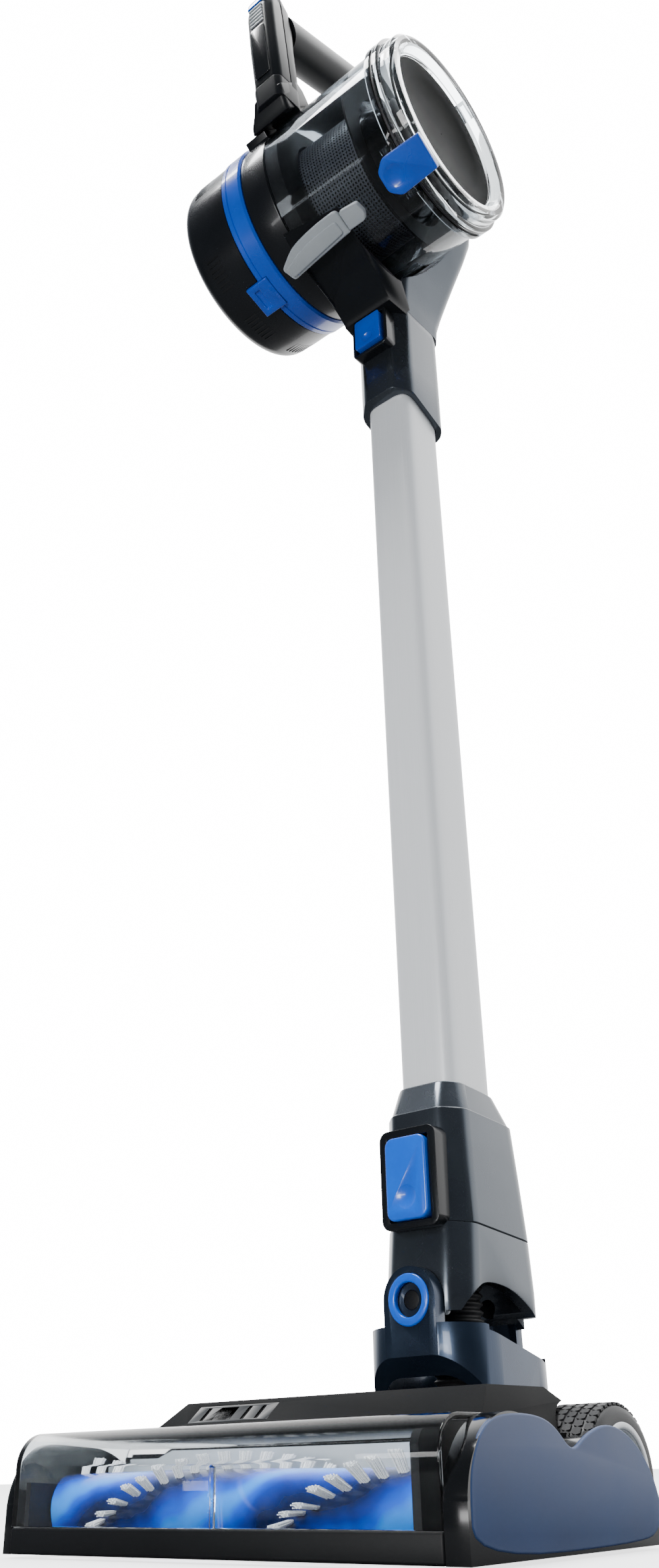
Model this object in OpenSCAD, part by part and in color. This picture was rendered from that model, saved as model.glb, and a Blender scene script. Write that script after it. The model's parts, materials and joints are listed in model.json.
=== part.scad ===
// Cordless stick vacuum cleaner: floor head, swivelling neck, wand and
// hand unit with a transverse dust cup. Millimetres, +Z up, front faces -Y.

/* [Floor head] */
// Width of the floor head
head_w = 256; // [210:1:310]
// Height of the clear hood above the floor
hood_h = 50.5; // [46:0.5:62]
// Height of the front sill below the hood
sill_h = 12; // [8:0.5:16]
// Wall of the head's mouldings
shell_t = 2.2; // [1.6:0.1:3]
// Width of the drive-side end cap
cap_r_w = 22; // [20:0.5:30]
// Width of the plain end cap
cap_l_w = 5; // [3:0.5:10]
// Depth of the end caps
cap_d = 148; // [140:1:180]

/* [Brush roll] */
// Radius over the bristles
brush_r = 20.5; // [16:0.5:22]
// Radius of the brush core
core_r = 12; // [9:0.5:14]
// Number of bristle strips
strip_n = 2; // [1:1:4]
// Teeth on the brush pulley
brush_teeth = 24; // [18:1:32]
// Teeth on the motor pulley
motor_teeth = 16; // [12:1:20]

/* [Wheels] */
// Radius of the rear wheels
wheel_r = 28; // [22:0.5:32]
// Width of a rear wheel
wheel_w = 31; // [18:0.5:34]
// Radius of the wheel axle
axle_r = 4; // [3:0.5:6]
// Radius of the front rollers
roller_r = 6; // [4.5:0.5:7]

/* [Neck] */
// Width of the neck housing
neck_w = 58; // [52:1:70]
// Length of the neck from its swivel axis to its collar
neck_l = 116; // [100:1:150]
// Height of the swivel axis above the floor
swivel_z = 109; // [105:1:130]
// Radius of the swivel boss
boss_r = 16.5; // [13:0.5:20]
// Radius of the swivel pins
swivel_pin_r = 5; // [3.5:0.5:6]
// Radius of the tilt pins
tilt_pin_r = 4; // [3:0.5:5]

/* [Wand] */
// Width of the wand
wand_w = 40; // [34:1:46]
// Depth of the wand
wand_d = 38; // [32:1:44]
// Length of the wand tube
wand_len = 660; // [500:5:800]
// Wall of the wand tube
wand_t = 1.6; // [1:0.1:2.5]
// Depth of the wand in the neck
neck_seat = 95; // [70:1:100]
// Depth of the wand in the hand unit
socket_seat = 45; // [30:1:50]

/* [Hand unit] */
// Outer radius of the dust cup
cup_r = 75; // [65:0.5:90]
// Length of the dust cup
cup_l = 106; // [90:1:140]
// Wall of the dust cup
cup_t = 2.2; // [1.6:0.1:3]
// Length of the motor housing barrel
barrel_l = 24; // [20:1:34]
// Width of the filter ring
ring_l = 20; // [14:1:28]
// Length of the rear cap
rear_cap_l = 46; // [40:1:60]
// Radius of the suction motor
motor_r = 38; // [30:1:42]
// Radius of the perforated shroud
shroud_r = 50; // [44:1:54]

/* [Handle] */
// Radius of the grip
grip_r = 18; // [15:0.5:20]
// Width of the handle's post
post_w = 27; // [25:0.5:34]
// Length of the battery pack
battery_l = 92; // [80:1:98]

/* [Hidden] */

$fn = 72;
fit = 0.05;              // radial clearance of shafts in their holes
gap = 0.3;               // clearance between faces that move past each other
eps = 0.5;               // overrun of cutters
pad_r = 12;              // corner radius of the neck and socket sections

// floor head, measured from the front face at Y = 0
xl = -head_w/2 + cap_l_w;
xr = head_w/2 - cap_r_w;
brush_y = shell_t + 4 + brush_r;
brush_z = brush_r + 0.8;
chamber_y = brush_y + brush_r + 7;
wall_t = 3;
deck_z = 3;
cover_y = chamber_y + 5;
side_h = hood_h - 6.5;
tunnel_h = hood_h + 12.5;
tunnel_x = xr - 16;
wheel_y = cap_d - 12;
wheel_x0 = head_w/2 - 9 - wheel_w;
hub_r = wheel_r - 8;
base_d = cap_d + 4;
tilt_y = wheel_y + 29;
tilt_z = 40;
duct_r = 17;
duct_z = 26;
motor_y = chamber_y + wall_t + 24;
motor_z = 24;
pitch_k = 0.375;         // pulley radius per tooth
brush_pulley_r = brush_teeth*pitch_k;
motor_pulley_r = motor_teeth*pitch_k;
belt_x0 = xr + 3;
belt_w = 8;
roller_y = chamber_y + 8;
roller_w = 13;
roller_x = 40;
roller_end = roller_x + roller_w + 6;
roller_z = roller_r + gap;  // the rollers carry the head on carpet only

// neck and wand
section_y = tilt_y + 22;
yoke_w = neck_w + 2*gap + 17;
yoke_in = neck_w/2 + 4;
yoke_y0 = section_y - 43;
yoke_y1 = section_y + 43;
total_d = yoke_y1;
neck_y0 = yoke_y0 + 8.5;
neck_y1 = yoke_y1 - 6.5;
neck_top = swivel_z + neck_l;
seam_z = swivel_z + 39;
neck_front = section_y - 30;
wand_z0 = neck_top - neck_seat;
wand_z1 = wand_z0 + wand_len;
slot_w = wand_w + 2*gap;
slot_d = wand_d + 2*gap;

// hand unit
socket_z = wand_z1 - socket_seat;
socket_w = wand_w + 8;
socket_d = wand_d + 15;
socket_top = socket_z + 93;
cyl_y = section_y - 67;
cyl_z = socket_top + 14 + cup_r + 1;
barrel_x1 = -14;
barrel_x0 = barrel_x1 - barrel_l;
ring_x0 = barrel_x0 - ring_l;
cap_x0 = ring_x0 - rear_cap_l;
cup_x0 = barrel_x1 + gap;
cup_x1 = barrel_x1 + cup_l;
door_x1 = cup_x1 + 11;
rim_r = cup_r + 3;
hinge_r = rim_r + 4;     // hinge pin, from the cup's axis
knuckle_r = 3.7;
hinge_a = 61;            // directions around the cup, from +Y towards +Z
latch_a = -119;
lever_a = -114;
lever_r = cup_r + 10;    // lever pin, from the cup's axis
post_a = 140;

// handle, as a side profile in Y and Z
spine_y0 = cyl_y + cup_r + 3;
spine_y1 = spine_y0 + 16;
post_r0 = cup_r + 4;
post_r1 = cup_r + 16;
foot_a = [cyl_y + post_r1*cos(post_a) + 20*sin(post_a), cyl_z + post_r1*sin(post_a) - 20*cos(post_a)];
foot_b = [cyl_y + post_r1*cos(post_a) - 20*sin(post_a), cyl_z + post_r1*sin(post_a) + 20*cos(post_a)];
grip_c = [cyl_y - 37, cyl_z + 80 + cup_r];
grip_slope = 23;
spine_top = cyl_z + cup_r + 8;
lean = 7.5;              // forward lean of the battery post
battery_t = 15;
battery_w = post_w - 5;
battery_c = [cyl_y - 86, cyl_z + 48];

function arc(c, r, a0, a1, n = 8) = [for (i = [0:n]) c + r*[cos(a0 + (a1 - a0)*i/n), sin(a0 + (a1 - a0)*i/n)]];
function along(p, a, d, off = 0) = p + d*[cos(a), sin(a)] + off*[-sin(a), cos(a)];

// The model is drawn from the head's front face and stands centred on its footprint.
module place() { translate([0, -total_d/2, 0]) children(); }
// Extrudes a shape drawn in Y and Z from x0 to x1.
module in_x(x0, x1) { translate([x0, 0, 0]) rotate([90, 0, 90]) linear_extrude(x1 - x0) children(); }
// Extrudes a shape drawn in X and Z from y0 to y1.
module in_y(y0, y1) { translate([0, y1, 0]) rotate([90, 0, 0]) linear_extrude(y1 - y0) children(); }
module box(a, b) { translate(a) cube(b - a); }
module rod_x(x0, x1, y, z, r) { translate([x0, y, z]) rotate([0, 90, 0]) cylinder(h = x1 - x0, r = r); }
module rod_y(y0, y1, x, z, r) { translate([x, y0, z]) rotate([-90, 0, 0]) cylinder(h = y1 - y0, r = r); }
module tube_x(x0, x1, y, z, r, ri) {
    difference() { rod_x(x0, x1, y, z, r); rod_x(x0 - eps, x1 + eps, y, z, ri); }
}
module rrect(w, d, r) {
    square([w - 2*r, d], center = true);
    square([w, d - 2*r], center = true);
    for (x = [-1, 1], y = [-1, 1]) translate([x*(w/2 - r), y*(d/2 - r)]) circle(r);
}
module section(w, d, r, z0, z1) { translate([0, section_y, z0]) linear_extrude(z1 - z0) rrect(w, d, r); }
module mirrored() { children(); mirror([1, 0, 0]) children(); }
// Local Y points outwards from the cup's axis at angle a, local Z around it.
module radial(a) { translate([0, cyl_y, cyl_z]) rotate([a, 0, 0]) children(); }
module drum(x0, x1, r) { rod_x(x0, x1, cyl_y, cyl_z, r); }
module drum_shell(x0, x1, r, ri) { tube_x(x0, x1, cyl_y, cyl_z, r, ri); }
// Local Z runs up the battery post, local Y points to the rear.
module on_post() { translate([0, battery_c[0], battery_c[1]]) rotate([lean, 0, 0]) children(); }

// ---- floor head ----
module hood_shape(o) {
    r = 14 - o;
    h = hood_h - o;
    translate([o, sill_h - (o > 0 ? eps : 0)]) square([cover_y - o + (o > 0 ? eps : 0), hood_h - 14 - sill_h + (o > 0 ? eps : 0)]);
    translate([14, hood_h - 14 - eps]) square([cover_y - 14 + (o > 0 ? eps : 0), h - hood_h + 14 + eps]);
    translate([14, hood_h - 14]) circle(r);
}

module cap_outline(o = 0) {
    lobe_r = hood_h*0.633 - o;
    difference() {
        union() {
            translate([lobe_r + o + 0.5, hood_h - lobe_r - o]) circle(lobe_r);
            translate([cap_d - 40, 2]) circle(40.5 - o);
            translate([lobe_r + o, 1.2 + o]) square([cap_d - 40 - lobe_r - o, 34 - 2*o]);
            translate([0.5 + o, 1.2 + o]) square([34 - o, sill_h + 8 - o]);
        }
        translate([-10, -60]) square([cap_d + 20, 61.2 + o]);
        translate([cap_d, -10]) square([20, 80]);
    }
}

module wheel_wells(r) {
    mirrored() rod_x(wheel_x0 - 1.5, head_w/2 - 7.5, wheel_y, wheel_r, r);
}

module head_base() color("#1b1d21") place() difference() {
    union() {
        box([xl, chamber_y, deck_z], [xr, base_d, deck_z + 2.5]);
        box([xl + shell_t + gap, chamber_y, deck_z], [xr - fit, chamber_y + wall_t, side_h - shell_t - gap]);
        box([xl, 3, 2], [xr, 6, sill_h]);
        in_x(xr - 4, xr - fit) intersection() {
            hood_shape(shell_t + gap);
            translate([3, 2]) square([cover_y - 3.1, hood_h]);
        }
        box([xr - 4, 3, 2], [xr - fit, chamber_y + 1, sill_h + 1]);
        box([xl + shell_t + gap, 3, 2], [xl + shell_t + gap + wall_t, chamber_y + 1, sill_h + 18]);
        mirrored() {
            box([yoke_in + 10, tilt_y - 26, deck_z], [yoke_in + 16, tilt_y, tilt_z]);
            rod_x(yoke_in + 10, yoke_in + 16, tilt_y, tilt_z, 11);
            box([wheel_x0 - 8, wheel_y - 12, deck_z], [wheel_x0 - 1.5, wheel_y + 12, wheel_r + 10]);
            box([roller_x - 7, roller_y - 5, 2.4], [roller_x - 3, roller_y + 5, roller_r + 5]);
            box([roller_x + roller_w + 1, roller_y - 5, 2.4], [roller_x + roller_w + 5, roller_y + 5, roller_r + 5]);
        }
    }
    rod_y(chamber_y - eps, chamber_y + wall_t + eps, 0, duct_z, duct_r - 2);
    rod_x(xr - 5, xr + eps, brush_y, brush_z, 6);
    rod_x(xl, xl + shell_t + gap + wall_t + eps, brush_y, brush_z, 6);
    rod_x(xr - 4 - eps, xr + eps, motor_y, motor_z, 3);
    wheel_wells(wheel_r + 2);
    mirrored() {
        rod_x(yoke_in + 9, yoke_in + 17, tilt_y, tilt_z, tilt_pin_r);
        rod_x(wheel_x0 - 9, wheel_x0, wheel_y, wheel_r, axle_r);
        box([roller_x - 2, roller_y - roller_r - 2, 0], [roller_x + roller_w + 0.5, roller_y + roller_r + 2, 2*roller_r + 2]);
        rod_x(-1, roller_end, roller_y, roller_z, 2 + fit);
        box([0, roller_y - 3, 0], [roller_x - 7 - eps, roller_y + 3, 9]);
    }
    box([-yoke_in - 9.5, tilt_y - 24, -1], [yoke_in + 9.5, base_d + 1, 9]);
}

module head_hood() color("#cfd8dc", 0.35) place() {
    in_x(xl + fit, xr - fit) difference() { hood_shape(0); hood_shape(shell_t); }
    in_x(xl + fit, xl + shell_t) hood_shape(0);
    box([-1, shell_t - 0.2, sill_h], [1, shell_t + 1.6, hood_h - 16]);
}

// Section of the top cover across the head.
module cover_section(o) {
    polygon([
        [xl + o, -5], [xl + o, side_h - o], [-tunnel_x - 12, side_h - o], [-tunnel_x, tunnel_h - o],
        [tunnel_x, tunnel_h - o], [tunnel_x + 12, side_h - o], [xr - fit - o, side_h - o], [xr - fit - o, -5]
    ]);
}
module cover_side(o) {
    polygon([
        [cover_y + o, -5], [cover_y + o, hood_h - o], [cover_y + 16, tunnel_h - o],
        [tilt_y - 44, tunnel_h - o], [base_d - o, side_h - o], [base_d - o, -5]
    ]);
}
module cover_form(o) {
    intersection() {
        in_y(cover_y - 5, base_d + 5) cover_section(o);
        in_x(xl - 5, xr + 5) cover_side(o);
        box([xl - 5, cover_y, deck_z + 2.6 + (o > 0 ? -3 : 0)], [xr + 5, base_d + 5, tunnel_h + 5]);
    }
}
module inlay_block(o, depth) {
    translate([-52, cover_y + 9, (hood_h + tunnel_h)/2]) rotate([atan((tunnel_h - hood_h)/16), 0, 0])
        box([-26 - o, -6 - o, -depth], [26 + o, 6 + o, 0.6 + (o > 0 ? 2 : 0)]);
}
module top_cover() color("#202328") place() difference() {
    cover_form(0);
    cover_form(shell_t);
    wheel_wells(wheel_r + 2);
    box([-roller_end, cover_y - 1, 0], [roller_end, roller_y + roller_r + 2, 2*roller_r + 2]);
    rod_y(cover_y - 1, tilt_y, 0, duct_z, duct_r + fit);
    rod_x(xr - 5, xr + eps, motor_y, motor_z, 3);
    mirrored() {
        box([yoke_in + 9.7, tilt_y - 27, 0], [yoke_in + 16.3, tilt_y + 12, tunnel_h + 1]);
        box([wheel_x0 - 8.3, wheel_y - 12.3, 0], [wheel_x0 - 1.2, wheel_y + 12.3, wheel_r + 10.3]);
    }
    box([-yoke_in - 16.3, tilt_y - 33, -1], [yoke_in + 16.3, base_d + 5, tunnel_h + 5]);
    inlay_block(fit, 1.4);
}

module cover_inlay() color("#0c0d0f") place() difference() {
    inlay_block(0, 1.3);
    for (i = [-2:2]) translate([-52 + i*9, cover_y + 9, (hood_h + tunnel_h)/2]) rotate([atan((tunnel_h - hood_h)/16), 0, 0])
        box([-1.2, -4.5, -0.4], [1.2, 4.5, 2]);
}

module end_cap_right() color("#4a6280") place() difference() {
    in_x(xr, head_w/2) cap_outline();
    difference() {
        in_x(xr - 1, head_w/2 - 3) cap_outline(2.4);
        box([xr - 2, motor_y + motor_pulley_r + 5, 0], [head_w/2, motor_y + motor_pulley_r + 8, 60]);
    }
    box([xr - 2, wheel_y - wheel_r - 3, -1], [head_w/2 - 7, cap_d + 5, 70]);
}

module end_cap_left() color("#4a6280") place() in_x(-head_w/2, xl) cap_outline();

module bumper_strip() color("#15171a") place() {
    box([xl, 0, 1.2], [xr, 3, sill_h]);
}

module rear_squeegee() color("#111214") place() {
    box([-head_w*0.25, roller_y + 14, 0], [head_w*0.25, roller_y + 22, deck_z]);
}

module brush_core() color("#1450a8") place() {
    rod_x(xl + shell_t + gap + wall_t + 1, xr - 5, brush_y, brush_z, core_r);
    rod_x(xl + shell_t + gap, belt_x0 + belt_w + 0.5, brush_y, brush_z, 3);
}

// Each strip is a row of blocks that winds once around the core.
module brush_bristles() color("#e8ecef") place() {
    x0 = xl + shell_t + gap + wall_t + 3;
    x1 = xr - 7;
    rows = 15;
    pitch = (x1 - x0)/rows;
    difference() {
        for (s = [0:strip_n - 1], i = [0:rows - 1])
            translate([x0 + i*pitch, brush_y, brush_z]) rotate([s*360/strip_n + i*300/rows, 0, 0])
                box([0.4, -2.5, core_r - 1], [pitch - 0.4, 2.5, brush_r]);
        rod_x(x0 - 1, x1 + 1, brush_y, brush_z, core_r);
    }
}

module pulley(x0, x1, y, z, r, bore) {
    tube_x(x0, x1, y, z, r, bore);
}
module brush_pulley() color("#c8ccd0") place() pulley(belt_x0, belt_x0 + belt_w, brush_y, brush_z, brush_pulley_r, 3);
module motor_pulley() color("#b89b5a") place() pulley(belt_x0, belt_x0 + belt_w, motor_y, motor_z, motor_pulley_r, 2 + fit);

module brush_bushes() color("#9aa0a6") place() {
    tube_x(xr - 4, xr - fit, brush_y, brush_z, 6, 3 + fit);
    tube_x(xl + shell_t + gap, xl + shell_t + gap + wall_t, brush_y, brush_z, 6, 3 + fit);
}

module brush_motor() color("#8d9299") place() {
    rod_x(xr - 60, xr - 5, motor_y, motor_z, 15);
    rod_x(xr - 6, belt_x0 + belt_w + 0.5, motor_y, motor_z, 2);
}

module drive_belt() color("#0d0d0e") place() {
    lift = 0.25;
    in_x(belt_x0 + 1, belt_x0 + belt_w - 1) difference() {
        hull() {
            translate([brush_y, brush_z]) circle(brush_pulley_r + lift + 1.4);
            translate([motor_y, motor_z]) circle(motor_pulley_r + lift + 1.4);
        }
        hull() {
            translate([brush_y, brush_z]) circle(brush_pulley_r + lift);
            translate([motor_y, motor_z]) circle(motor_pulley_r + lift);
        }
    }
}

module head_duct() color("#24272c") place() difference() {
    rod_y(chamber_y + wall_t, tilt_y - 26, 0, duct_z, duct_r);
    rod_y(chamber_y, tilt_y, 0, duct_z, duct_r - 2);
}

module wheel() {
    difference() {
        rod_x(wheel_x0, wheel_x0 + wheel_w, wheel_y, wheel_r, hub_r);
        rod_x(wheel_x0 + wheel_w - 8, wheel_x0 + wheel_w + eps, wheel_y, wheel_r, hub_r - 3);
        rod_x(wheel_x0 - eps, wheel_x0 + wheel_w + eps, wheel_y, wheel_r, axle_r + fit);
    }
}
module tyre() { tube_x(wheel_x0, wheel_x0 + wheel_w, wheel_y, wheel_r, wheel_r, hub_r); }
module wheel_right() color("#d4d8dc") place() wheel();
module wheel_left() color("#d4d8dc") place() mirror([1, 0, 0]) wheel();
module tyre_right() color("#15161a") place() tyre();
module tyre_left() color("#15161a") place() mirror([1, 0, 0]) tyre();

module wheel_axles() color("#a9adb2") place() mirrored() {
    rod_x(wheel_x0 - 9, wheel_x0 + wheel_w - 7.6, wheel_y, wheel_r, axle_r);
    rod_x(wheel_x0 + wheel_w - 7.6, wheel_x0 + wheel_w - 6, wheel_y, wheel_r, axle_r + 2);
}

module front_rollers() color("#2b2e33") place() {
    rod_x(-roller_x - roller_w - 4.5, roller_x + roller_w + 4.5, roller_y, roller_z, 2);
    mirrored() rod_x(roller_x, roller_x + roller_w - 1, roller_y, roller_z, roller_r);
}

// ---- neck ----
module tilt_pins() color("#a9adb2") place() mirrored() rod_x(yoke_in, yoke_in + 17, tilt_y, tilt_z, tilt_pin_r);

module yoke_side() {
    polygon(concat(
        arc([tilt_y, tilt_z], 11, 200, 340, 8),
        [[yoke_y1 - 26, 60], [yoke_y1, 62], [yoke_y1, 78], [yoke_y0 + 16, swivel_z - 13],
         [yoke_y0, swivel_z - 12], [yoke_y0, swivel_z - 27], [yoke_y0 + 14, 66]]
    ));
}
module yoke() color("#23262b") place() difference() {
    union() {
        intersection() {
            in_x(-yoke_w/2, yoke_w/2) yoke_side();
            translate([0, section_y, 0]) linear_extrude(swivel_z + 30) rrect(yoke_w, yoke_y1 - yoke_y0, 26);
        }
        rod_y(yoke_y0, yoke_y0 + 8, 0, swivel_z, boss_r);
        box([-boss_r, yoke_y0, swivel_z - 27], [boss_r, yoke_y0 + 8, swivel_z]);
        rod_y(yoke_y1 - 6, yoke_y1, 0, swivel_z, 13);
        box([-13, yoke_y1 - 6, 64], [13, yoke_y1, swivel_z]);
    }
    translate([0, section_y, -1]) linear_extrude(swivel_z + 40)
        translate([0, (8 - 6)/2]) rrect(2*yoke_in, yoke_y1 - yoke_y0 - 14, 20);
    mirrored() rod_x(yoke_in - 1, yoke_in + 17, tilt_y, tilt_z, tilt_pin_r + fit);
    mirrored() box([yoke_in + 9.4, yoke_y0 - 5, 0], [yoke_w, yoke_y1 + 5, tilt_z + 14]);
    rod_y(yoke_y0 - eps, yoke_y0 + 9, 0, swivel_z, swivel_pin_r);
    rod_y(yoke_y1 - 7, yoke_y1 + eps, 0, swivel_z, swivel_pin_r);
    rod_y(yoke_y0 - eps, yoke_y0 + 2.5, 0, swivel_z, boss_r - 3.5);
}

module swivel_pins() color("#17191c") place() {
    rod_y(yoke_y0 + 2.5, neck_y0 + 7, 0, swivel_z, swivel_pin_r);
    rod_y(neck_y1 - 7, yoke_y1 - 1, 0, swivel_z, swivel_pin_r);
}

module swivel_ring() color("#0f5fd0") place() difference() {
    rod_y(yoke_y0 - 1, yoke_y0 + 2.5, 0, swivel_z, boss_r - 3.5);
    rod_y(yoke_y0 - 2, yoke_y0 + 3, 0, swivel_z, boss_r - 8);
}

// The elbow of the corrugated hose, from the head's duct up into the neck.
module hose() color("#0f1012") place() {
    r = section_y - tilt_y + 24;
    translate([0, section_y - r, duct_z + r]) rotate([-90, 0, 0]) rotate([0, -90, 0])
        rotate_extrude(angle = 90) translate([r, 0]) difference() { circle(duct_r - 2.5); circle(duct_r - 5); }
    translate([0, section_y, duct_z + r]) difference() {
        cylinder(h = wand_z0 - 6 - duct_z - r, r = duct_r - 2.5);
        translate([0, 0, -1]) cylinder(h = wand_z0, r = duct_r - 5);
    }
}

module neck_side(z0, z1) {
    y0 = neck_y0;
    y1 = neck_y1;
    polygon([[y0, z0], [y0 + 4, seam_z], [neck_front + 1, neck_top - 10], [neck_front + 4, z1],
        [section_y + 24, z1], [section_y + 28, seam_z + 20], [y1, swivel_z + 4], [y1, z0]]);
}
module neck_form(z0, z1) {
    intersection() {
        in_x(-neck_w/2, neck_w/2) neck_side(swivel_z - boss_r, neck_top);
        translate([0, (neck_y0 + neck_y1)/2, z0]) linear_extrude(z1 - z0) rrect(neck_w, neck_y1 - neck_y0, pad_r);
    }
}
module wand_slot() { section(slot_w, slot_d, 8 + gap, wand_z0 - gap, neck_top + 1); }

module neck_lower() color("#23262b") place() difference() {
    neck_form(swivel_z - boss_r, seam_z);
    rod_x(-neck_w, neck_w, section_y, swivel_z - 32, 38);
    box([-neck_w, neck_y0 + 7, 0], [neck_w, neck_y1 - 7, swivel_z - boss_r + 12]);
    difference() {
        box([-neck_w, neck_y0 - 1, 0], [neck_w, neck_y1 + 1, swivel_z]);
        box([-boss_r, neck_y0 - 2, 0], [boss_r, neck_y1 + 2, swivel_z]);
    }
    difference() {
        box([-neck_w, neck_y0 - 1, 0], [neck_w, neck_y1 + 1, swivel_z]);
        rod_y(neck_y0 - 2, neck_y1 + 2, 0, swivel_z, boss_r);
    }
    box([-22, neck_y0 + 7, 0], [22, neck_y1 - 7, wand_z0 - 5]);
    translate([0, section_y, wand_z0 - 6]) cylinder(h = 10, r = duct_r - 2);
    wand_slot();
    rod_y(neck_y0 - eps, neck_y0 + 8, 0, swivel_z, swivel_pin_r + fit);
    rod_y(neck_y1 - 8, neck_y1 + eps, 0, swivel_z, swivel_pin_r + fit);
    button_recess(neck_front - 8, seam_z, 30, 46);
}

// A release button stands in a raised housing that is w wide and h high.
module button_bezel(y, z, w, h) {
    box([-w/2 - 4, y, z - 4], [w/2 + 4, y + 14, z + h + 4]);
}
module button_recess(y, z, w, h) {
    box([-w/2 - gap, y - 5, z - gap], [w/2 + gap, y + 10, z + h + gap]);
}
module release_button(y, z, w, h) {
    difference() {
        box([-w/2, y - 3, z], [w/2, y + 5.5, z + h]);
        translate([0, y - 10, z + h*0.24]) sphere(r = 9.4);
    }
}
module return_spring(y, z) {
    difference() {
        rod_y(y + 5.5, y + 10, 0, z, 4.5);
        rod_y(y, y + 11, 0, z, 3.5);
    }
}

module neck_collar() color("#2a2d33") place() difference() {
    union() {
        neck_form(seam_z, neck_top);
        intersection() {
            button_bezel(neck_front - 8, seam_z + 0.5, 30, 46);
            box([-neck_w, 0, seam_z], [neck_w, total_d, neck_top]);
        }
    }
    wand_slot();
    button_recess(neck_front - 8, seam_z, 30, 46);
}

module neck_button() color("#0f6fe0") place() release_button(neck_front - 8, seam_z + gap, 30, 46 - gap);
module neck_spring() color("#b9bec4") place() return_spring(neck_front - 8, seam_z + 23);

// ---- wand ----
module wand_tube() color("#dfe3e6") place() difference() {
    section(wand_w, wand_d, 8, wand_z0, wand_z1);
    section(wand_w - 2*wand_t, wand_d - 2*wand_t, 8 - wand_t, wand_z0 - 1, wand_z1 + 1);
}

module wand_contacts() color("#2a2d33") place() {
    for (z = [wand_z0, wand_z1 - 22]) difference() {
        section(wand_w - 2*wand_t, wand_d - 2*wand_t, 8 - wand_t, z, z + 22);
        translate([0, section_y, z - 1]) cylinder(h = 24, r = 14);
    }
}

// ---- hand unit ----
module socket_form(z0, z1) { section(socket_w, socket_d, pad_r, z0, z1); }

module socket_housing() color("#3a3e45") place() difference() {
    union() {
        socket_form(socket_z - 4, socket_top);
        button_bezel(section_y - socket_d/2 - 8, socket_top - 37, 25, 31);
    }
    section(slot_w, slot_d, 8 + gap, socket_z - 5, wand_z1 + gap);
    translate([0, section_y, wand_z1 - 1]) cylinder(h = 200, r = 14);
    button_recess(section_y - socket_d/2 - 8, socket_top - 37, 25, 31);
    in_x(-socket_w, socket_w) polygon([
        [section_y - socket_d/2 - 1, socket_z - 5], [section_y - socket_d/2 - 1, socket_z + 9],
        [section_y - socket_d/2 + 12, socket_z + 6], [section_y + 12, socket_z - 5]
    ]);
}
module wand_button() color("#0f6fe0") place() release_button(section_y - socket_d/2 - 8, socket_top - 37, 25, 31);
module wand_spring() color("#b9bec4") place() return_spring(section_y - socket_d/2 - 8, socket_top - 22);

// Carries the cup from below and behind, and joins the wand socket to the handle.
module frame_side() {
    polygon([
        [cyl_y - 8, cyl_z - cup_r - 4], [section_y - socket_d/2, socket_top + 3], [section_y - socket_d/2, socket_top],
        [spine_y1, socket_top], [spine_y1, spine_top], [spine_y0 - 1, spine_top],
        [spine_y0 - 1, cyl_z], [cyl_y, cyl_z]
    ]);
}
module frame_front() {
    polygon([
        [-socket_w/2 + 1, socket_top], [socket_w/2 - 1, socket_top], [socket_w/2 + 1, socket_top + 18],
        [cup_x1 - 28, cyl_z - cup_r + 55], [cup_x1 - 28, cyl_z - cup_r + 72], [22, cyl_z + 38], [post_w/2 + 2, spine_top],
        [-post_w/2 - 2, spine_top], [-16, cyl_z + 38], [barrel_x0 + 2, cyl_z + 26], [barrel_x0 + 2, cyl_z - 40]
    ]);
}
module frame_saddle() {
    intersection() {
        drum_shell(barrel_x1, 34, cup_r + 4.4, cup_r + 0.8);
        in_x(-50, 50) polygon([[cyl_y, cyl_z], [cyl_y + 150*cos(-124), cyl_z + 150*sin(-124)],
            [cyl_y + 150*cos(-60), cyl_z + 150*sin(-60)]]);
    }
}
module housing_bracket() { box([barrel_x0 + 2, cyl_y + 40, cyl_z - 32], [barrel_x1, spine_y0 - 1, cyl_z + 22]); }
module frame_cut() {
    housing_bracket();
    drum(barrel_x1, 130, cup_r + 0.8);
    drum(cap_x0 - 1, barrel_x1 + 1, cup_r + 2.4);
}
module main_frame() color("#202328") place() difference() {
    union() {
        difference() {
            intersection() {
                in_x(-60, 120) frame_side();
                in_y(0, 300) frame_front();
            }
            frame_cut();
        }
        frame_saddle();
        radial(lever_a) box([12, cup_r + 2, -11.5], [26, cup_r + 13, -9]);
        radial(lever_a) box([12, cup_r + 2, 9], [26, cup_r + 13, 11.5]);
    }
    hull() {
        translate([0, section_y, socket_top - 1]) cylinder(h = 1, r = 14);
        radial(-52) translate([20, cup_r - 12, -14]) cube([26, 1, 28]);
    }
    radial(lever_a) translate([19, lever_r, -12]) cylinder(h = 24, r = 1.5);
    radial(-52) box([20, cup_r - 4, -14], [46, cup_r + 12, 14]);
}

module motor_housing() color("#1c1e22") place() difference() {
    union() {
        drum(barrel_x0, barrel_x1, cup_r);
        housing_bracket();
        radial(post_a) box([barrel_x0 + 2, cup_r - 8, -18], [barrel_x1 - 2, post_r0, 18]);
    }
    drum(barrel_x0 - 1, barrel_x1 - 4, cup_r - 4);
    drum(barrel_x0 - 1, barrel_x1 + 1, motor_r - 8);
}

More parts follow.
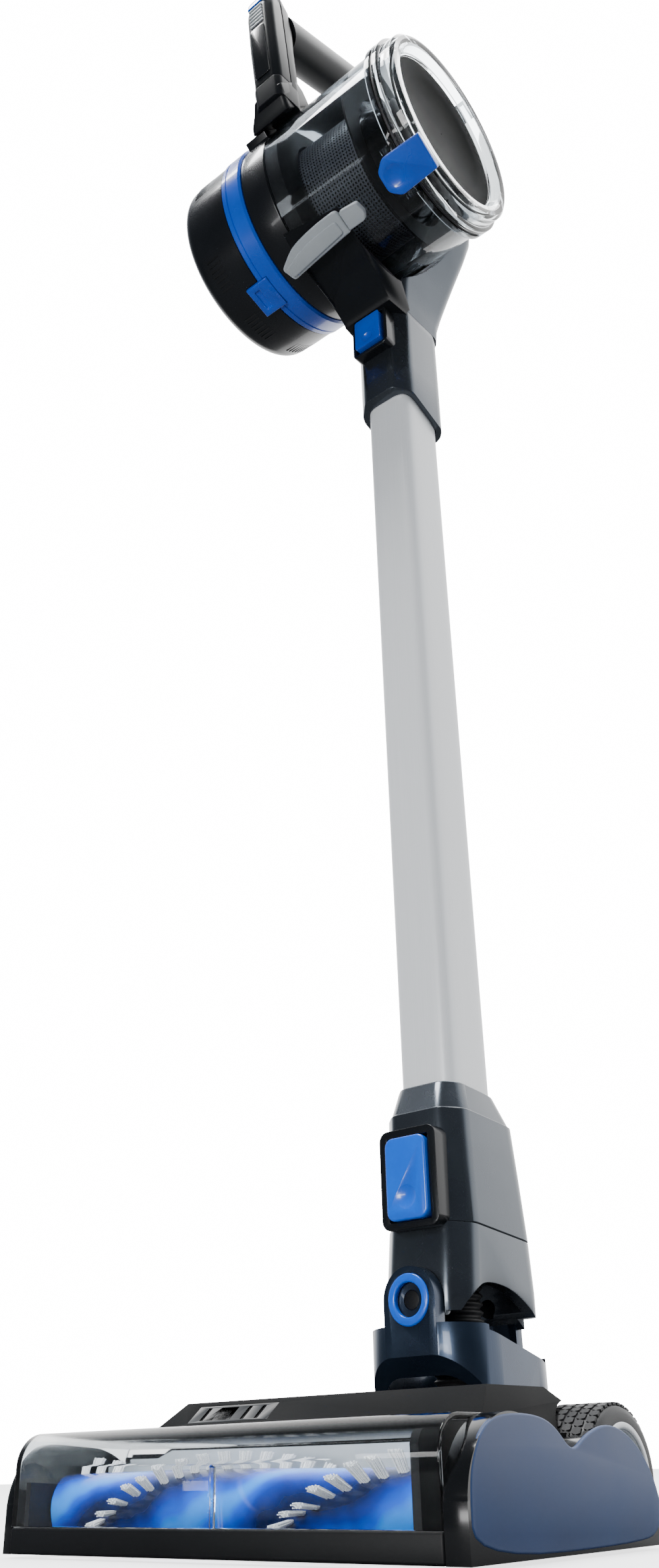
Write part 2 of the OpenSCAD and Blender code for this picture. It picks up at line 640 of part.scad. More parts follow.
module suction_motor() color("#8d9299") place() {
    difference() {
        drum(cap_x0 + 14, barrel_x1 - 4, motor_r);
        drum(barrel_x1 - 16, barrel_x1 - 3, motor_r - 3);
        drum(cap_x0 + 30, barrel_x1 - 15, 3 + fit);
    }
}
module impeller() color("#c9ced3") place() {
    drum(cap_x0 + 30 + gap, barrel_x1 - 5, 3);
    drum(barrel_x1 - 15.5, barrel_x1 - 13, motor_r - 4);
    for (i = [0:10]) radial(i*360/11) box([barrel_x1 - 13.2, 6, -0.8], [barrel_x1 - 6, motor_r - 5, 0.8]);
}

module shroud() color("#191b1f") place() {
    difference() {
        drum(cup_x0, cup_x0 + 69, shroud_r);
        drum(cup_x0 - 1, cup_x0 + 67, shroud_r - 1.6);
        drum(cup_x0 - 1, cup_x0 + 80, 20);
    }
    drum_shell(cup_x0 + 69, cup_x0 + 72, shroud_r + 6, 20);
}
module cyclone_cone() color("#101114") place() {
    translate([cup_x0 + 72, cyl_y, cyl_z]) rotate([0, 90, 0]) difference() {
        cylinder(h = 20, r1 = shroud_r - 4, r2 = shroud_r - 14);
        translate([0, 0, -1]) cylinder(h = 22, r1 = shroud_r - 6, r2 = shroud_r - 16.5);
    }
}

module cup_shell() color("#dfe7ea", 0.3) place() {
    difference() {
        union() {
            drum(cup_x0, cup_x1, cup_r);
            drum(cup_x1 - 4, cup_x1, rim_r);
            for (z = [-16, 8.3]) radial(hinge_a) box([cup_x1 - 9, cup_r - 1, z], [cup_x1 - gap, hinge_r + knuckle_r, z + 7.7]);
            radial(latch_a) box([cup_x1 - 10, cup_r - 1, -19], [cup_x1 - 4, cup_r + 7, -15.6]);
            radial(latch_a) box([cup_x1 - 10, cup_r - 1, 15.6], [cup_x1 - 4, cup_r + 7, 19]);
        }
        drum(cup_x0 - 1, cup_x1 + 1, cup_r - cup_t);
        radial(-52) box([20, cup_r - 14, -14], [46, cup_r + 5, 14]);
        radial(hinge_a) translate([cup_x1 - 4, hinge_r, -20]) cylinder(h = 40, r = 1.5);
        radial(latch_a) translate([cup_x1 - 7, cup_r + 4.5, -20]) cylinder(h = 40, r = 1.5 + fit);
    }
}

module cup_door() color("#dfe7ea", 0.3) place() {
    difference() {
        union() {
            drum(cup_x1 + 2, cup_x1 + 7, rim_r);
            drum(cup_x1 + 6.9, door_x1, rim_r - 6);
            radial(hinge_a) translate([cup_x1 - 4, hinge_r, -8]) cylinder(h = 16, r = knuckle_r);
            radial(hinge_a) box([cup_x1 - 4, rim_r + gap, -8], [cup_x1 + 7, hinge_r + knuckle_r, 8]);
            radial(hinge_a) box([cup_x1 + 2, cup_r, -8], [cup_x1 + 7, hinge_r, 8]);
        }
        drum(cup_x1 + 1, cup_x1 + 7, rim_r - 9);
        drum(cup_x1 + 6.9, door_x1 - 3, rim_r - 9);
        drum(door_x1 - 1.4, door_x1 + 1, rim_r - 27);
        radial(hinge_a) translate([cup_x1 - 4, hinge_r, -20]) cylinder(h = 40, r = 1.5 + fit);
    }
}

module door_seal() color("#0d0e10") place() drum_shell(cup_x1 + gap, cup_x1 + 2, rim_r - 1, cup_r - 4);
module door_pin() color("#b9bec4") place()
    radial(hinge_a) translate([cup_x1 - 4, hinge_r, -16]) cylinder(h = 32, r = 1.5);

module door_latch() color("#0b55b8") place() radial(latch_a) difference() {
    union() {
        box([cup_x1 - 19, cup_r + 2.9, -15], [cup_x1 + 10.6, cup_r + 9, 15]);
        box([cup_x1 + 7.3, rim_r + gap, -11], [cup_x1 + 10.6, cup_r + 5, 11]);
        translate([cup_x1 - 7, cup_r + 4.5, -18.9]) cylinder(h = 37.8, r = 1.5);
    }
    box([cup_x1 - 5.5, cup_r, -16], [cup_x1 + 7.3, cup_r + 3.6, 16]);
    translate([cup_x1 - 12, cup_r + 26, 0]) sphere(r = 18.6);
}

module cup_lever() color("#a8afb2") place() radial(lever_a) difference() {
    in_lever() polygon([
        [-25, -7], [-8, -8.8], [10, -8.6], [28, -6], [42, -6],
        [42, 6], [28, 6], [10, 7.6], [-8, 7.5], [-25, 2]
    ]);
    translate([19, lever_r, -12]) cylinder(h = 24, r = 1.5 + fit);
}
module in_lever() { translate([0, cup_r + 13, 0]) rotate([90, 0, 0]) linear_extrude(6) children(); }
module lever_pin() color("#b9bec4") place()
    radial(lever_a) translate([19, lever_r, -11.5]) cylinder(h = 23, r = 1.5);

module latch_notch(o) {
    radial(-106) box([ring_x0 - 12 - o, cup_r - 6, -13 - o], [ring_x0 + 9 + o, cup_r + 10, 13 + o]);
}
module filter_ring() color("#0d50b8") place() difference() {
    drum_shell(ring_x0 + gap, barrel_x0 - gap, cup_r + 2, cup_r - 5);
    latch_notch(gap);
}
module filter() color("#e4e7ea") place() {
    x0 = cap_x0 + 6;
    difference() {
        drum(x0, barrel_x0 - gap, cup_r - 5);
        drum(x0 - 1, barrel_x0 + 1, motor_r + 6);
        latch_notch(gap);
        for (i = [0:23]) radial(i*15) box([x0 - 1, cup_r - 14, -1.5], [ring_x0 + 4, cup_r, 1.5]);
    }
}
module rear_cap() color("#2a2d31") place() difference() {
    union() {
        drum(cap_x0 + 10, ring_x0, cup_r + 1);
        translate([cap_x0 + 10, cyl_y, cyl_z]) rotate([0, 90, 0]) rotate_extrude() {
            translate([cup_r - 9, 0]) circle(10);
        }
        drum(cap_x0, cap_x0 + 10.5, cup_r - 9);
    }
    drum(cap_x0 + 3, ring_x0 + 1, cup_r - 4.5);
    latch_notch(gap);
    for (a = [-130, -100, -70], s = [-2:2]) radial(a + s*3) box([cap_x0 + 14, cup_r - 8, -0.9], [cap_x0 + 26, cup_r + 5, 0.9]);
    for (r = [14:8:54]) drum_vent(r);
}
module drum_vent(r) {
    difference() {
        drum(cap_x0 - 1, cap_x0 + 3.5, r + 3);
        drum(cap_x0 - 2, cap_x0 + 4, r);
        for (a = [0, 60, 120]) radial(a) box([cap_x0 - 2, -80, -3], [cap_x0 + 5, 80, 3]);
    }
}
module cap_latch() color("#0b3f98") place() radial(-106) difference() {
    box([ring_x0 - 12, cup_r - 3.5, -13], [ring_x0 + 9, cup_r + 3, 13]);
    box([ring_x0 - 7, cup_r + 1.6, -8], [ring_x0 - 2, cup_r + 4, 8]);
}

// ---- handle ----
module handle_profile() {
    g0 = along(grip_c, grip_slope, -24);
    g1 = along(grip_c, grip_slope, 76);
    top = grip_r + 0.5;
    polygon(concat(
        [foot_b, [battery_c[0] + 3, battery_c[1] + 12], [battery_c[0] - 9, battery_c[1] + 58]],
        [[battery_c[0] - 9, battery_c[1] + 90], [battery_c[0] - 4, battery_c[1] + 103], along(grip_c, grip_slope, -31, top)],
        [along(grip_c, grip_slope, 66, top)],
        arc([spine_y1 - 46, g1[1] - 24], 46, 100, 0, 9),
        [[spine_y1, spine_top], [spine_y0, spine_top], [spine_y0, g1[1] - 46]],
        arc([spine_y0 - 22, g1[1] - 42], 22, 0, 90 + grip_slope, 7),
        [along(grip_c, grip_slope, -16, -grip_r)],
        [[foot_a[0] - 9, foot_a[1] + 48], foot_a]
    ));
}
module handle() color("#2a2d32") place() difference() {
    union() {
        in_x(-post_w/2, post_w/2) handle_profile();
        radial(post_a) box([barrel_x0 + 2, post_r0, -21.5], [post_w/2 - 1, post_r1 + 1.5, 21.5]);
    }
    on_post() box([-battery_w/2 - gap, -30, 14], [battery_w/2 + gap, battery_t + gap, 200]);
    button_cut(18);
    button_cut(44);
    translate([0, grip_c[0] + 20, grip_c[1] + 20*tan(grip_slope)]) rotate([grip_slope, 0, 0])
        box([-8, -22, -3.5], [8, 22, 3.5]);
}
module at_button(d) { p = along(grip_c, grip_slope, d, grip_r + 0.5); translate([0, p[0], p[1]]) rotate([grip_slope, 0, 0]) children(); }
module button_cut(d) { at_button(d) translate([0, 0, -6]) cylinder(h = 10, r = 8 + gap); }
module control_board() color("#1f6b3a") place()
    translate([0, grip_c[0] + 20, grip_c[1] + 20*tan(grip_slope)]) rotate([grip_slope, 0, 0])
        box([-7, -20, -2.6], [7, 20, -1]);
module power_button() color("#0f6fe0") place() at_button(18) translate([0, 0, -4]) cylinder(h = 5.4, r = 8);
module mode_button() color("#3a3e45") place() at_button(44) translate([0, 0, -4]) cylinder(h = 5, r = 8);

module battery_pack() color("#33373d") place() on_post() difference() {
    box([-battery_w/2, 0, 14 + gap], [battery_w/2, battery_t, 14 + battery_l]);
    box([-battery_w/2 + 3, -1, battery_l - 17], [battery_w/2 - 3, 1.2, battery_l + 6]);
    box([-battery_w/2 + 2, -1, battery_l + 8], [battery_w/2 - 2, 8, battery_l + 15]);
}
module battery_button() color("#0f5fd0") place() on_post()
    box([-battery_w/2 + 2 + gap, 0.2, battery_l + 8 + 3.2], [battery_w/2 - 2 - gap, 8 - gap, battery_l + 17]);

module screws() color("#9ea3a8") place() {
    for (x = [-1, 1], y = [chamber_y + 40, base_d - 8])
        translate([x*60, y, deck_z - 0.8]) cylinder(h = 0.8, r = 3);
}

head_base();
head_hood();
top_cover();
cover_inlay();
end_cap_right();
end_cap_left();
bumper_strip();
rear_squeegee();
brush_core();
brush_bristles();
brush_pulley();
brush_bushes();
brush_motor();
motor_pulley();
drive_belt();
head_duct();
wheel_left();
tyre_left();
wheel_right();
tyre_right();
wheel_axles();
front_rollers();
tilt_pins();
yoke();
swivel_pins();
swivel_ring();
hose();
neck_lower();
neck_collar();
neck_button();
neck_spring();
wand_tube();
wand_contacts();
socket_housing();
wand_button();
wand_spring();
main_frame();
motor_housing();
suction_motor();
impeller();
shroud();
cyclone_cone();
cup_shell();
cup_door();
door_seal();
door_pin();
door_latch();
cup_lever();
lever_pin();
filter_ring();
filter();
rear_cap();
cap_latch();
handle();
battery_pack();
battery_button();
power_button();
mode_button();
control_board();
screws();
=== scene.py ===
"""Cordless stick vacuum cleaner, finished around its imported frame."""
import json
import logging
import math
from dataclasses import dataclass
from enum import Enum
from typing import Iterable, Sequence

import bmesh
import bpy
from mathutils import Matrix, Vector


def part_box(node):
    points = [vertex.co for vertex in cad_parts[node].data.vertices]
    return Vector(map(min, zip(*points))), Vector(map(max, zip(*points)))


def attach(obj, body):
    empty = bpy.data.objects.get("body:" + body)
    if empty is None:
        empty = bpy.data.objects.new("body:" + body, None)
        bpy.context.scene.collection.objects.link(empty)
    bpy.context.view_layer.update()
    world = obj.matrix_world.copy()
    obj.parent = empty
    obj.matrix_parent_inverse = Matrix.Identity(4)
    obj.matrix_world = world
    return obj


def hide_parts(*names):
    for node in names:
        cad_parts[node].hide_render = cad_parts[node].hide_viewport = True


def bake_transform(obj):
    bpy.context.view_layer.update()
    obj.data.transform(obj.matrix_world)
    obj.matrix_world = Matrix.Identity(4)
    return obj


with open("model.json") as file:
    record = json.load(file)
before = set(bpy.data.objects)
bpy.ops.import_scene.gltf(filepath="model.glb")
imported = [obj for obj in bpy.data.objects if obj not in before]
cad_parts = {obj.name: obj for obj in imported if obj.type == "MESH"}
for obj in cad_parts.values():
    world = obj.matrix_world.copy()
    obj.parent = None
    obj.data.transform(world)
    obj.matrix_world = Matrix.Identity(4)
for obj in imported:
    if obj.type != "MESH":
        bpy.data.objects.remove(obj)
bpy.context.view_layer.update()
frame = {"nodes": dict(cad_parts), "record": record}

MM = 0.001
LOG = logging.getLogger("vacuum")
Point = Sequence[float]
Piece = bpy.types.Object
NODE_BODY = {node: body for body, nodes in frame["record"]["behaviour"]["bodies"].items() for node in nodes}
CUTTER = "cutter"
# Edges that turn by less than this many degrees look smooth.
SOFT_ANGLE = 32.0
# An outline seen from the side: its X, Y and height lie along Y, Z and X.
SIDE_ON = Matrix(((0, 0, 1, 0), (1, 0, 0, 0), (0, 1, 0, 0), (0, 0, 0, 1)))
# An outline seen from the front: its X, Y and height lie along X, Z and Y.
FRONT_ON = Matrix(((1, 0, 0, 0), (0, 0, 1, 0), (0, 1, 0, 0), (0, 0, 0, 1)))
# How much deeper the wand is than its node, which its sockets follow.
WAND_DEEPER = 6.0
# Clearance between the wand and its sockets, and between a button and its recess.
PLAY = 0.35


# ---------------------------------------------------------------- helpers

def linear(code: str) -> tuple[float, float, float, float]:
    """Turns an sRGB hex colour into linear RGBA.

    Args:
        code: Six hex digits, with or without a leading '#'.

    Returns:
        Red, green, blue and an alpha of one.
    """
    digits = code.lstrip("#")
    parts = [int(digits[i:i + 2], 16) / 255 for i in (0, 2, 4)]
    shades = [c / 12.92 if c <= 0.04045 else ((c + 0.055) / 1.055) ** 2.4 for c in parts]
    return (shades[0], shades[1], shades[2], 1.0)


def span(node: str) -> tuple[Vector, Vector]:
    """Returns the lowest and highest corner of a CAD node, in millimetres."""
    low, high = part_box(node)
    return low / MM, high / MM


def add(tree: bpy.types.NodeTree, kind: str, settings: dict | None = None,
        inputs: dict | None = None) -> bpy.types.Node:
    """Adds a node with its settings and its links.

    Args:
        tree: The tree that takes the node.
        kind: The node's type.
        settings: Properties of the node.
        inputs: Sockets by name or number, each with a constant or an output to link.

    Returns:
        The new node.
    """
    node = tree.nodes.new(kind)
    for key, value in (settings or {}).items():
        setattr(node, key, value)
    for key, value in (inputs or {}).items():
        if isinstance(value, bpy.types.NodeSocket):
            tree.links.new(value, node.inputs[key])
        else:
            node.inputs[key].default_value = value
    return node


def ramp(tree: bpy.types.NodeTree, factor: bpy.types.NodeSocket,
         stops: Sequence[tuple[float, str]]) -> bpy.types.NodeSocket:
    """Colours a factor through a ramp of hex colours and returns the colour output."""
    node = add(tree, "ShaderNodeValToRGB", inputs={0: factor})
    while len(node.color_ramp.elements) < len(stops):
        node.color_ramp.elements.new(0.5)
    for element, (place, code) in zip(node.color_ramp.elements, stops):
        element.position = place
        element.color = linear(code)
    return node.outputs[0]


def mesh_object(name: str, points: Iterable[Point], faces: Iterable[Sequence[int]]) -> Piece:
    """Makes an object from points in millimetres, with its place in its mesh."""
    mesh = bpy.data.meshes.new(name)
    mesh.from_pydata([Vector(p) * MM for p in points], [], list(faces))
    mesh.validate()
    piece = bpy.data.objects.new(name, mesh)
    bpy.context.scene.collection.objects.link(piece)
    return piece


def outward(piece: Piece, merge: float = 1e-6) -> None:
    """Merges doubles and turns every face outwards."""
    work = bmesh.new()
    work.from_mesh(piece.data)
    bmesh.ops.remove_doubles(work, verts=work.verts, dist=merge)
    bmesh.ops.recalc_face_normals(work, faces=work.faces)
    work.to_mesh(piece.data)
    work.free()


def smooth(piece: Piece, angle: float = SOFT_ANGLE) -> None:
    """Shades a piece smooth, with edges sharper than an angle in degrees kept."""
    piece.data.shade_smooth()
    piece.data.set_sharp_from_angle(angle=math.radians(angle))


def settle(piece: Piece) -> Piece:
    """Applies every modifier, so the result is a plain mesh."""
    bpy.context.view_layer.update()
    shape = piece.evaluated_get(bpy.context.evaluated_depsgraph_get())
    mesh = bpy.data.meshes.new_from_object(shape)
    piece.modifiers.clear()
    old = piece.data
    piece.data = mesh
    mesh.name = piece.name
    if isinstance(old, bpy.types.Mesh):
        bpy.data.meshes.remove(old)
    return piece


def bevel(piece: Piece, width: float, segments: int = 3, angle: float = 30.0) -> Piece:
    """Rounds the edges of a piece by a width in millimetres and shades it smooth."""
    step = piece.modifiers.new("edges", "BEVEL")
    step.width = width * MM
    step.segments = segments
    step.limit_method = "ANGLE"
    step.angle_limit = math.radians(angle)
    step.use_clamp_overlap = True
    step.miter_outer = "MITER_ARC"
    settle(piece)
    smooth(piece, 40.0)
    return piece


def place(piece: Piece, body: str, slot: str, *nodes: str) -> Piece:
    """Puts a piece on its body and hides the CAD nodes it stands for."""
    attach(piece, body)
    if nodes:
        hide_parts(*nodes)
    return piece


def loft(name: str, rings: Sequence[Sequence[Point]], closed: bool = True) -> Piece:
    """Joins rings of equal length with quads.

    Args:
        name: The piece's name.
        rings: Closed rings of points in millimetres, in order.
        closed: Whether the two ends get a face.

    Returns:
        The lofted object, with its faces outwards.
    """
    count = len(rings[0])
    points = [p for ring in rings for p in ring]
    faces: list[Sequence[int]] = []
    for i in range(len(rings) - 1):
        for j in range(count):
            k = (j + 1) % count
            faces.append((i * count + j, i * count + k, (i + 1) * count + k, (i + 1) * count + j))
    if closed:
        faces.append(tuple(reversed(range(count))))
        faces.append(tuple(range((len(rings) - 1) * count, len(rings) * count)))
    piece = mesh_object(name, points, faces)
    outward(piece)
    return piece


def plan_ring(z: float, half_w: float, front: float, back: float, power: float = 4.0,
              count: int = 64, lift: float = 0.0) -> list[Point]:
    """A rounded-rectangle ring in plan.

    Args:
        z: Height of the ring.
        half_w: Half of its width.
        front: Its lowest Y.
        back: Its highest Y.
        power: Squareness, where two is an ellipse.
        count: Number of points.
        lift: How much the ring rises from front to back.

    Returns:
        The ring's points.
    """
    mid, half_d = (front + back) / 2, (back - front) / 2
    ring = []
    for i in range(count):
        a = math.tau * (i + 0.5) / count
        c, s = math.cos(a), math.sin(a)
        x = half_w * math.copysign(abs(c) ** (2 / power), c)
        y = half_d * math.copysign(abs(s) ** (2 / power), s)
        ring.append((x, mid + y, z + lift * (y / half_d + 1) / 2))
    return ring


def turned(name: str, profile: Sequence[tuple[float, float]], centre: tuple[float, float],
           count: int = 96) -> Piece:
    """Turns a closed profile of (x, radius) pairs about an axis along X.

    Args:
        name: The piece's name.
        profile: The closed outline, in millimetres.
        centre: Y and Z of the axis.
        count: Number of steps round.

    Returns:
        The turned object.
    """
    size = len(profile)
    points = []
    for i in range(count):
        c, s = math.cos(math.tau * i / count), math.sin(math.tau * i / count)
        points += [(x, centre[0] + r * c, centre[1] + r * s) for x, r in profile]
    faces = []
    for i in range(count):
        a, b = i * size, (i + 1) % count * size
        faces += [(a + j, a + (j + 1) % size, b + (j + 1) % size, b + j) for j in range(size)]
    piece = mesh_object(name, points, faces)
    outward(piece, 1e-5)
    return piece


def slab(name: str, outline: Sequence[tuple[float, float]], low: float, high: float,
         put: Matrix | None = None) -> Piece:
    """Extrudes an outline in a plane's own X and Y between two heights, then puts it in place."""
    count = len(outline)
    points = [Vector((x, y, z)) for z in (low, high) for x, y in outline]
    if put is not None:
        points = [put @ p for p in points]
    faces = [(i, (i + 1) % count, count + (i + 1) % count, count + i) for i in range(count)]
    faces += [tuple(reversed(range(count))), tuple(range(count, 2 * count))]
    piece = mesh_object(name, points, faces)
    outward(piece)
    return piece


def rounded(width: float, height: float, radius: float, steps: int = 6) -> list[tuple[float, float]]:
    """The outline of a rounded rectangle centred on the origin."""
    outline = []
    for quarter, (sx, sy) in enumerate(((1, 1), (-1, 1), (-1, -1), (1, -1))):
        for i in range(steps + 1):
            a = math.radians(90 * quarter + 90 * i / steps)
            outline.append((sx * (width / 2 - radius) + radius * math.cos(a),
                            sy * (height / 2 - radius) + radius * math.sin(a)))
    return outline


def copy_of(node: str, name: str) -> Piece:
    """A merged copy of a CAD node's mesh, with its flat faces joined."""
    piece = frame["nodes"][node].copy()
    piece.data = piece.data.copy()
    piece.name = name
    piece.data.name = name
    piece.parent = None
    piece.matrix_world = Matrix.Identity(4)
    for key in list(piece.keys()):
        del piece[key]
    piece.data.materials.clear()
    bpy.context.scene.collection.objects.link(piece)
    work = bmesh.new()
    work.from_mesh(piece.data)
    bmesh.ops.remove_doubles(work, verts=work.verts, dist=2e-5)
    bmesh.ops.dissolve_degenerate(work, edges=work.edges, dist=1e-6)
    bmesh.ops.dissolve_limit(work, angle_limit=math.radians(0.6), verts=work.verts, edges=work.edges)
    work.to_mesh(piece.data)
    work.free()
    if "custom_normal" in piece.data.attributes:
        piece.data.attributes.remove(piece.data.attributes["custom_normal"])
    return piece


# ---------------------------------------------------------------- finishes

class Grain(Enum):
    """How a surface was made, which sets its relief."""

    POLISHED = "polished"
    SPARKED = "spark-eroded"


@dataclass(frozen=True)
class Finish:
    """What every finish has.

    Args:
        name: The material's name.
        slot: The record's material slot.
    """

    name: str
    slot: str

    def shader(self) -> tuple[bpy.types.Material, bpy.types.NodeTree, bpy.types.Node, bpy.types.NodeSocket]:
        """Starts a material and returns it with its tree, its shader and the Object coordinates."""
        material = bpy.data.materials.new(self.name)
        material.use_nodes = True
        tree = material.node_tree
        shader = tree.nodes["Principled BSDF"]
        coords = add(tree, "ShaderNodeTexCoord").outputs["Object"]
        return material, tree, shader, coords

    def build(self) -> bpy.types.Material:
        """Builds the material."""
        raise NotImplementedError


@dataclass(frozen=True)
class Moulded(Finish):
    """Injection-moulded plastic or rubber, with the grain of its tool.

    Args:
        tone: Main colour.
        shade: Second colour of the slow variation across the part.
        rough: Roughness.
        grain: How the tool's face was made.
        grain_mm: Size of the grain.
        relief_mm: Depth of the grain.
        metallic: Share of metal flake in the lacquer.
        coat: Weight of the clear lacquer.
        vary_mm: Size of the slow variation.
        specular: Strength of the reflection at the surface.
    """

    tone: str
    shade: str
    rough: float = 0.35
    grain: Grain = Grain.POLISHED
    grain_mm: float = 0.6
    relief_mm: float = 0.02
    metallic: float = 0.0
    coat: float = 0.0
    vary_mm: float = 40.0
    specular: float = 0.5

    def build(self) -> bpy.types.Material:
        """Builds the plastic."""
        material, tree, shader, coords = self.shader()
        slow = add(tree, "ShaderNodeTexNoise", inputs={"Vector": coords, "Scale": 1000 / self.vary_mm,
                                                       "Detail": 3.0, "Roughness": 0.5})
        fine = add(tree, "ShaderNodeTexNoise", inputs={"Vector": coords, "Scale": 1000 / self.grain_mm,
                                                       "Detail": 2.0, "Roughness": 0.6})
        colour = ramp(tree, slow.outputs[0], [(0.3, self.shade), (0.7, self.tone)])
        tree.links.new(colour, shader.inputs["Base Color"])
        gloss = add(tree, "ShaderNodeMapRange",
                    inputs={"Value": slow.outputs[0], "From Min": 0.25, "From Max": 0.75,
                            "To Min": max(self.rough - 0.04, 0.02), "To Max": self.rough + 0.05})
        tree.links.new(gloss.outputs[0], shader.inputs["Roughness"])
        if self.grain is not Grain.POLISHED:
            bump = add(tree, "ShaderNodeBump", inputs={"Height": fine.outputs[0], "Strength": 0.6,
                                                       "Distance": self.relief_mm * MM})
            tree.links.new(bump.outputs[0], shader.inputs["Normal"])
        shader.inputs["Metallic"].default_value = self.metallic
        shader.inputs["Coat Weight"].default_value = self.coat
        shader.inputs["Coat Roughness"].default_value = 0.06
        shader.inputs["IOR"].default_value = 1.53
        shader.inputs["Specular IOR Level"].default_value = self.specular
        return material


@dataclass(frozen=True)
class Clear(Finish):
    """Clear moulded polycarbonate.

    Args:
        tint: Its faint colour.
        rough: Roughness of its faces.
        specular: Strength of the reflection at its faces.
    """

    tint: str = "#F4F8FA"
    rough: float = 0.02
    specular: float = 0.5

    def build(self) -> bpy.types.Material:
        """Builds the clear plastic."""
        material, tree, shader, coords = self.shader()
        flow = add(tree, "ShaderNodeTexNoise", inputs={"Vector": coords, "Scale": 1000 / 30.0, "Detail": 1.0})
        haze = add(tree, "ShaderNodeMapRange", inputs={"Value": flow.outputs[0], "To Min": self.rough,
                                                       "To Max": self.rough + 0.03})
        tree.links.new(haze.outputs[0], shader.inputs["Roughness"])
        shader.inputs["Base Color"].default_value = linear(self.tint)
        shader.inputs["Transmission Weight"].default_value = 1.0
        # Less than the 1.58 of the plastic, because a thin wall bends light less than a block does.
        shader.inputs["IOR"].default_value = 1.38
        shader.inputs["Specular IOR Level"].default_value = self.specular
        # Lamps reach what lies behind the clear wall.
        bare = add(tree, "ShaderNodeBsdfTransparent")
        path = add(tree, "ShaderNodeLightPath")
        mixed = add(tree, "ShaderNodeMixShader",
                    inputs={0: path.outputs["Is Shadow Ray"], 1: shader.outputs[0], 2: bare.outputs[0]})
        tree.links.new(mixed.outputs[0], tree.nodes["Material Output"].inputs["Surface"])
        return material


@dataclass(frozen=True)
class Metal(Finish):
    """Bare, plated or painted metal with the marks of its making.

    Args:
        tone: Main colour.
        shade: Colour in the marks.
        rough: Roughness.
        streak: Stretch of the marks along X, Y and Z, as marks per metre.
        metallic: One for bare metal, less for paint.
        relief_mm: Depth of the marks.
    """

    tone: str
    shade: str
    rough: float = 0.25
    streak: tuple[float, float, float] = (900.0, 900.0, 900.0)
    metallic: float = 1.0
    relief_mm: float = 0.01

    def build(self) -> bpy.types.Material:
        """Builds the metal."""
        material, tree, shader, coords = self.shader()
        stretched = add(tree, "ShaderNodeMapping", inputs={"Vector": coords, "Scale": self.streak})
        marks = add(tree, "ShaderNodeTexNoise",
                    inputs={"Vector": stretched.outputs[0], "Scale": 1.0, "Detail": 3.0})
        colour = ramp(tree, marks.outputs[0], [(0.3, self.shade), (0.7, self.tone)])
        tree.links.new(colour, shader.inputs["Base Color"])
        gloss = add(tree, "ShaderNodeMapRange",
                    inputs={"Value": marks.outputs[0], "To Min": max(self.rough - 0.06, 0.03),
                            "To Max": self.rough + 0.06})
        tree.links.new(gloss.outputs[0], shader.inputs["Roughness"])
        bump = add(tree, "ShaderNodeBump", inputs={"Height": marks.outputs[0], "Strength": 0.5,
                                                   "Distance": self.relief_mm * MM})
        tree.links.new(bump.outputs[0], shader.inputs["Normal"])
        shader.inputs["Metallic"].default_value = self.metallic
        return material


@dataclass(frozen=True)
class Swirled(Finish):
    """Blue acetal with lighter bands that wind round the brush core.

    Args:
        centre: Y and Z of the core's axis, in metres.
        lead: Length in which a band winds once round, in metres.
    """

    centre: tuple[float, float] = (0.0, 0.0)
    lead: float = 0.22

    def build(self) -> bpy.types.Material:
        """Builds the swirled plastic."""
        material, tree, shader, coords = self.shader()
        apart = add(tree, "ShaderNodeSeparateXYZ", inputs={0: coords})
        y = add(tree, "ShaderNodeMath", {"operation": "SUBTRACT"}, {0: apart.outputs[1], 1: self.centre[0]})
        z = add(tree, "ShaderNodeMath", {"operation": "SUBTRACT"}, {0: apart.outputs[2], 1: self.centre[1]})
        angle = add(tree, "ShaderNodeMath", {"operation": "ARCTAN2"}, {0: z.outputs[0], 1: y.outputs[0]})
        wind = add(tree, "ShaderNodeMath", {"operation": "MULTIPLY_ADD"},
                   {0: apart.outputs[0], 1: math.tau / self.lead, 2: angle.outputs[0]})
        drift = add(tree, "ShaderNodeTexNoise", inputs={"Vector": coords, "Scale": 28.0, "Detail": 2.0})
        bent = add(tree, "ShaderNodeMath", {"operation": "MULTIPLY_ADD"},
                   {0: drift.outputs[0], 1: 2.2, 2: wind.outputs[0]})
        doubled = add(tree, "ShaderNodeMath", {"operation": "MULTIPLY"}, {0: bent.outputs[0], 1: 2.0})
        wave = add(tree, "ShaderNodeMath", {"operation": "SINE"}, {0: doubled.outputs[0]})
        level = add(tree, "ShaderNodeMapRange",
                    inputs={"Value": wave.outputs[0], "From Min": -1.0, "From Max": 1.0})
        colour = ramp(tree, level.outputs[0],
                      [(0.0, "#01123C"), (0.45, "#022C8C"), (0.8, "#0550CC"), (1.0, "#1C86EC")])
        tree.links.new(colour, shader.inputs["Base Color"])
        shader.inputs["Roughness"].default_value = 0.22
        shader.inputs["Coat Weight"].default_value = 0.4
        return material


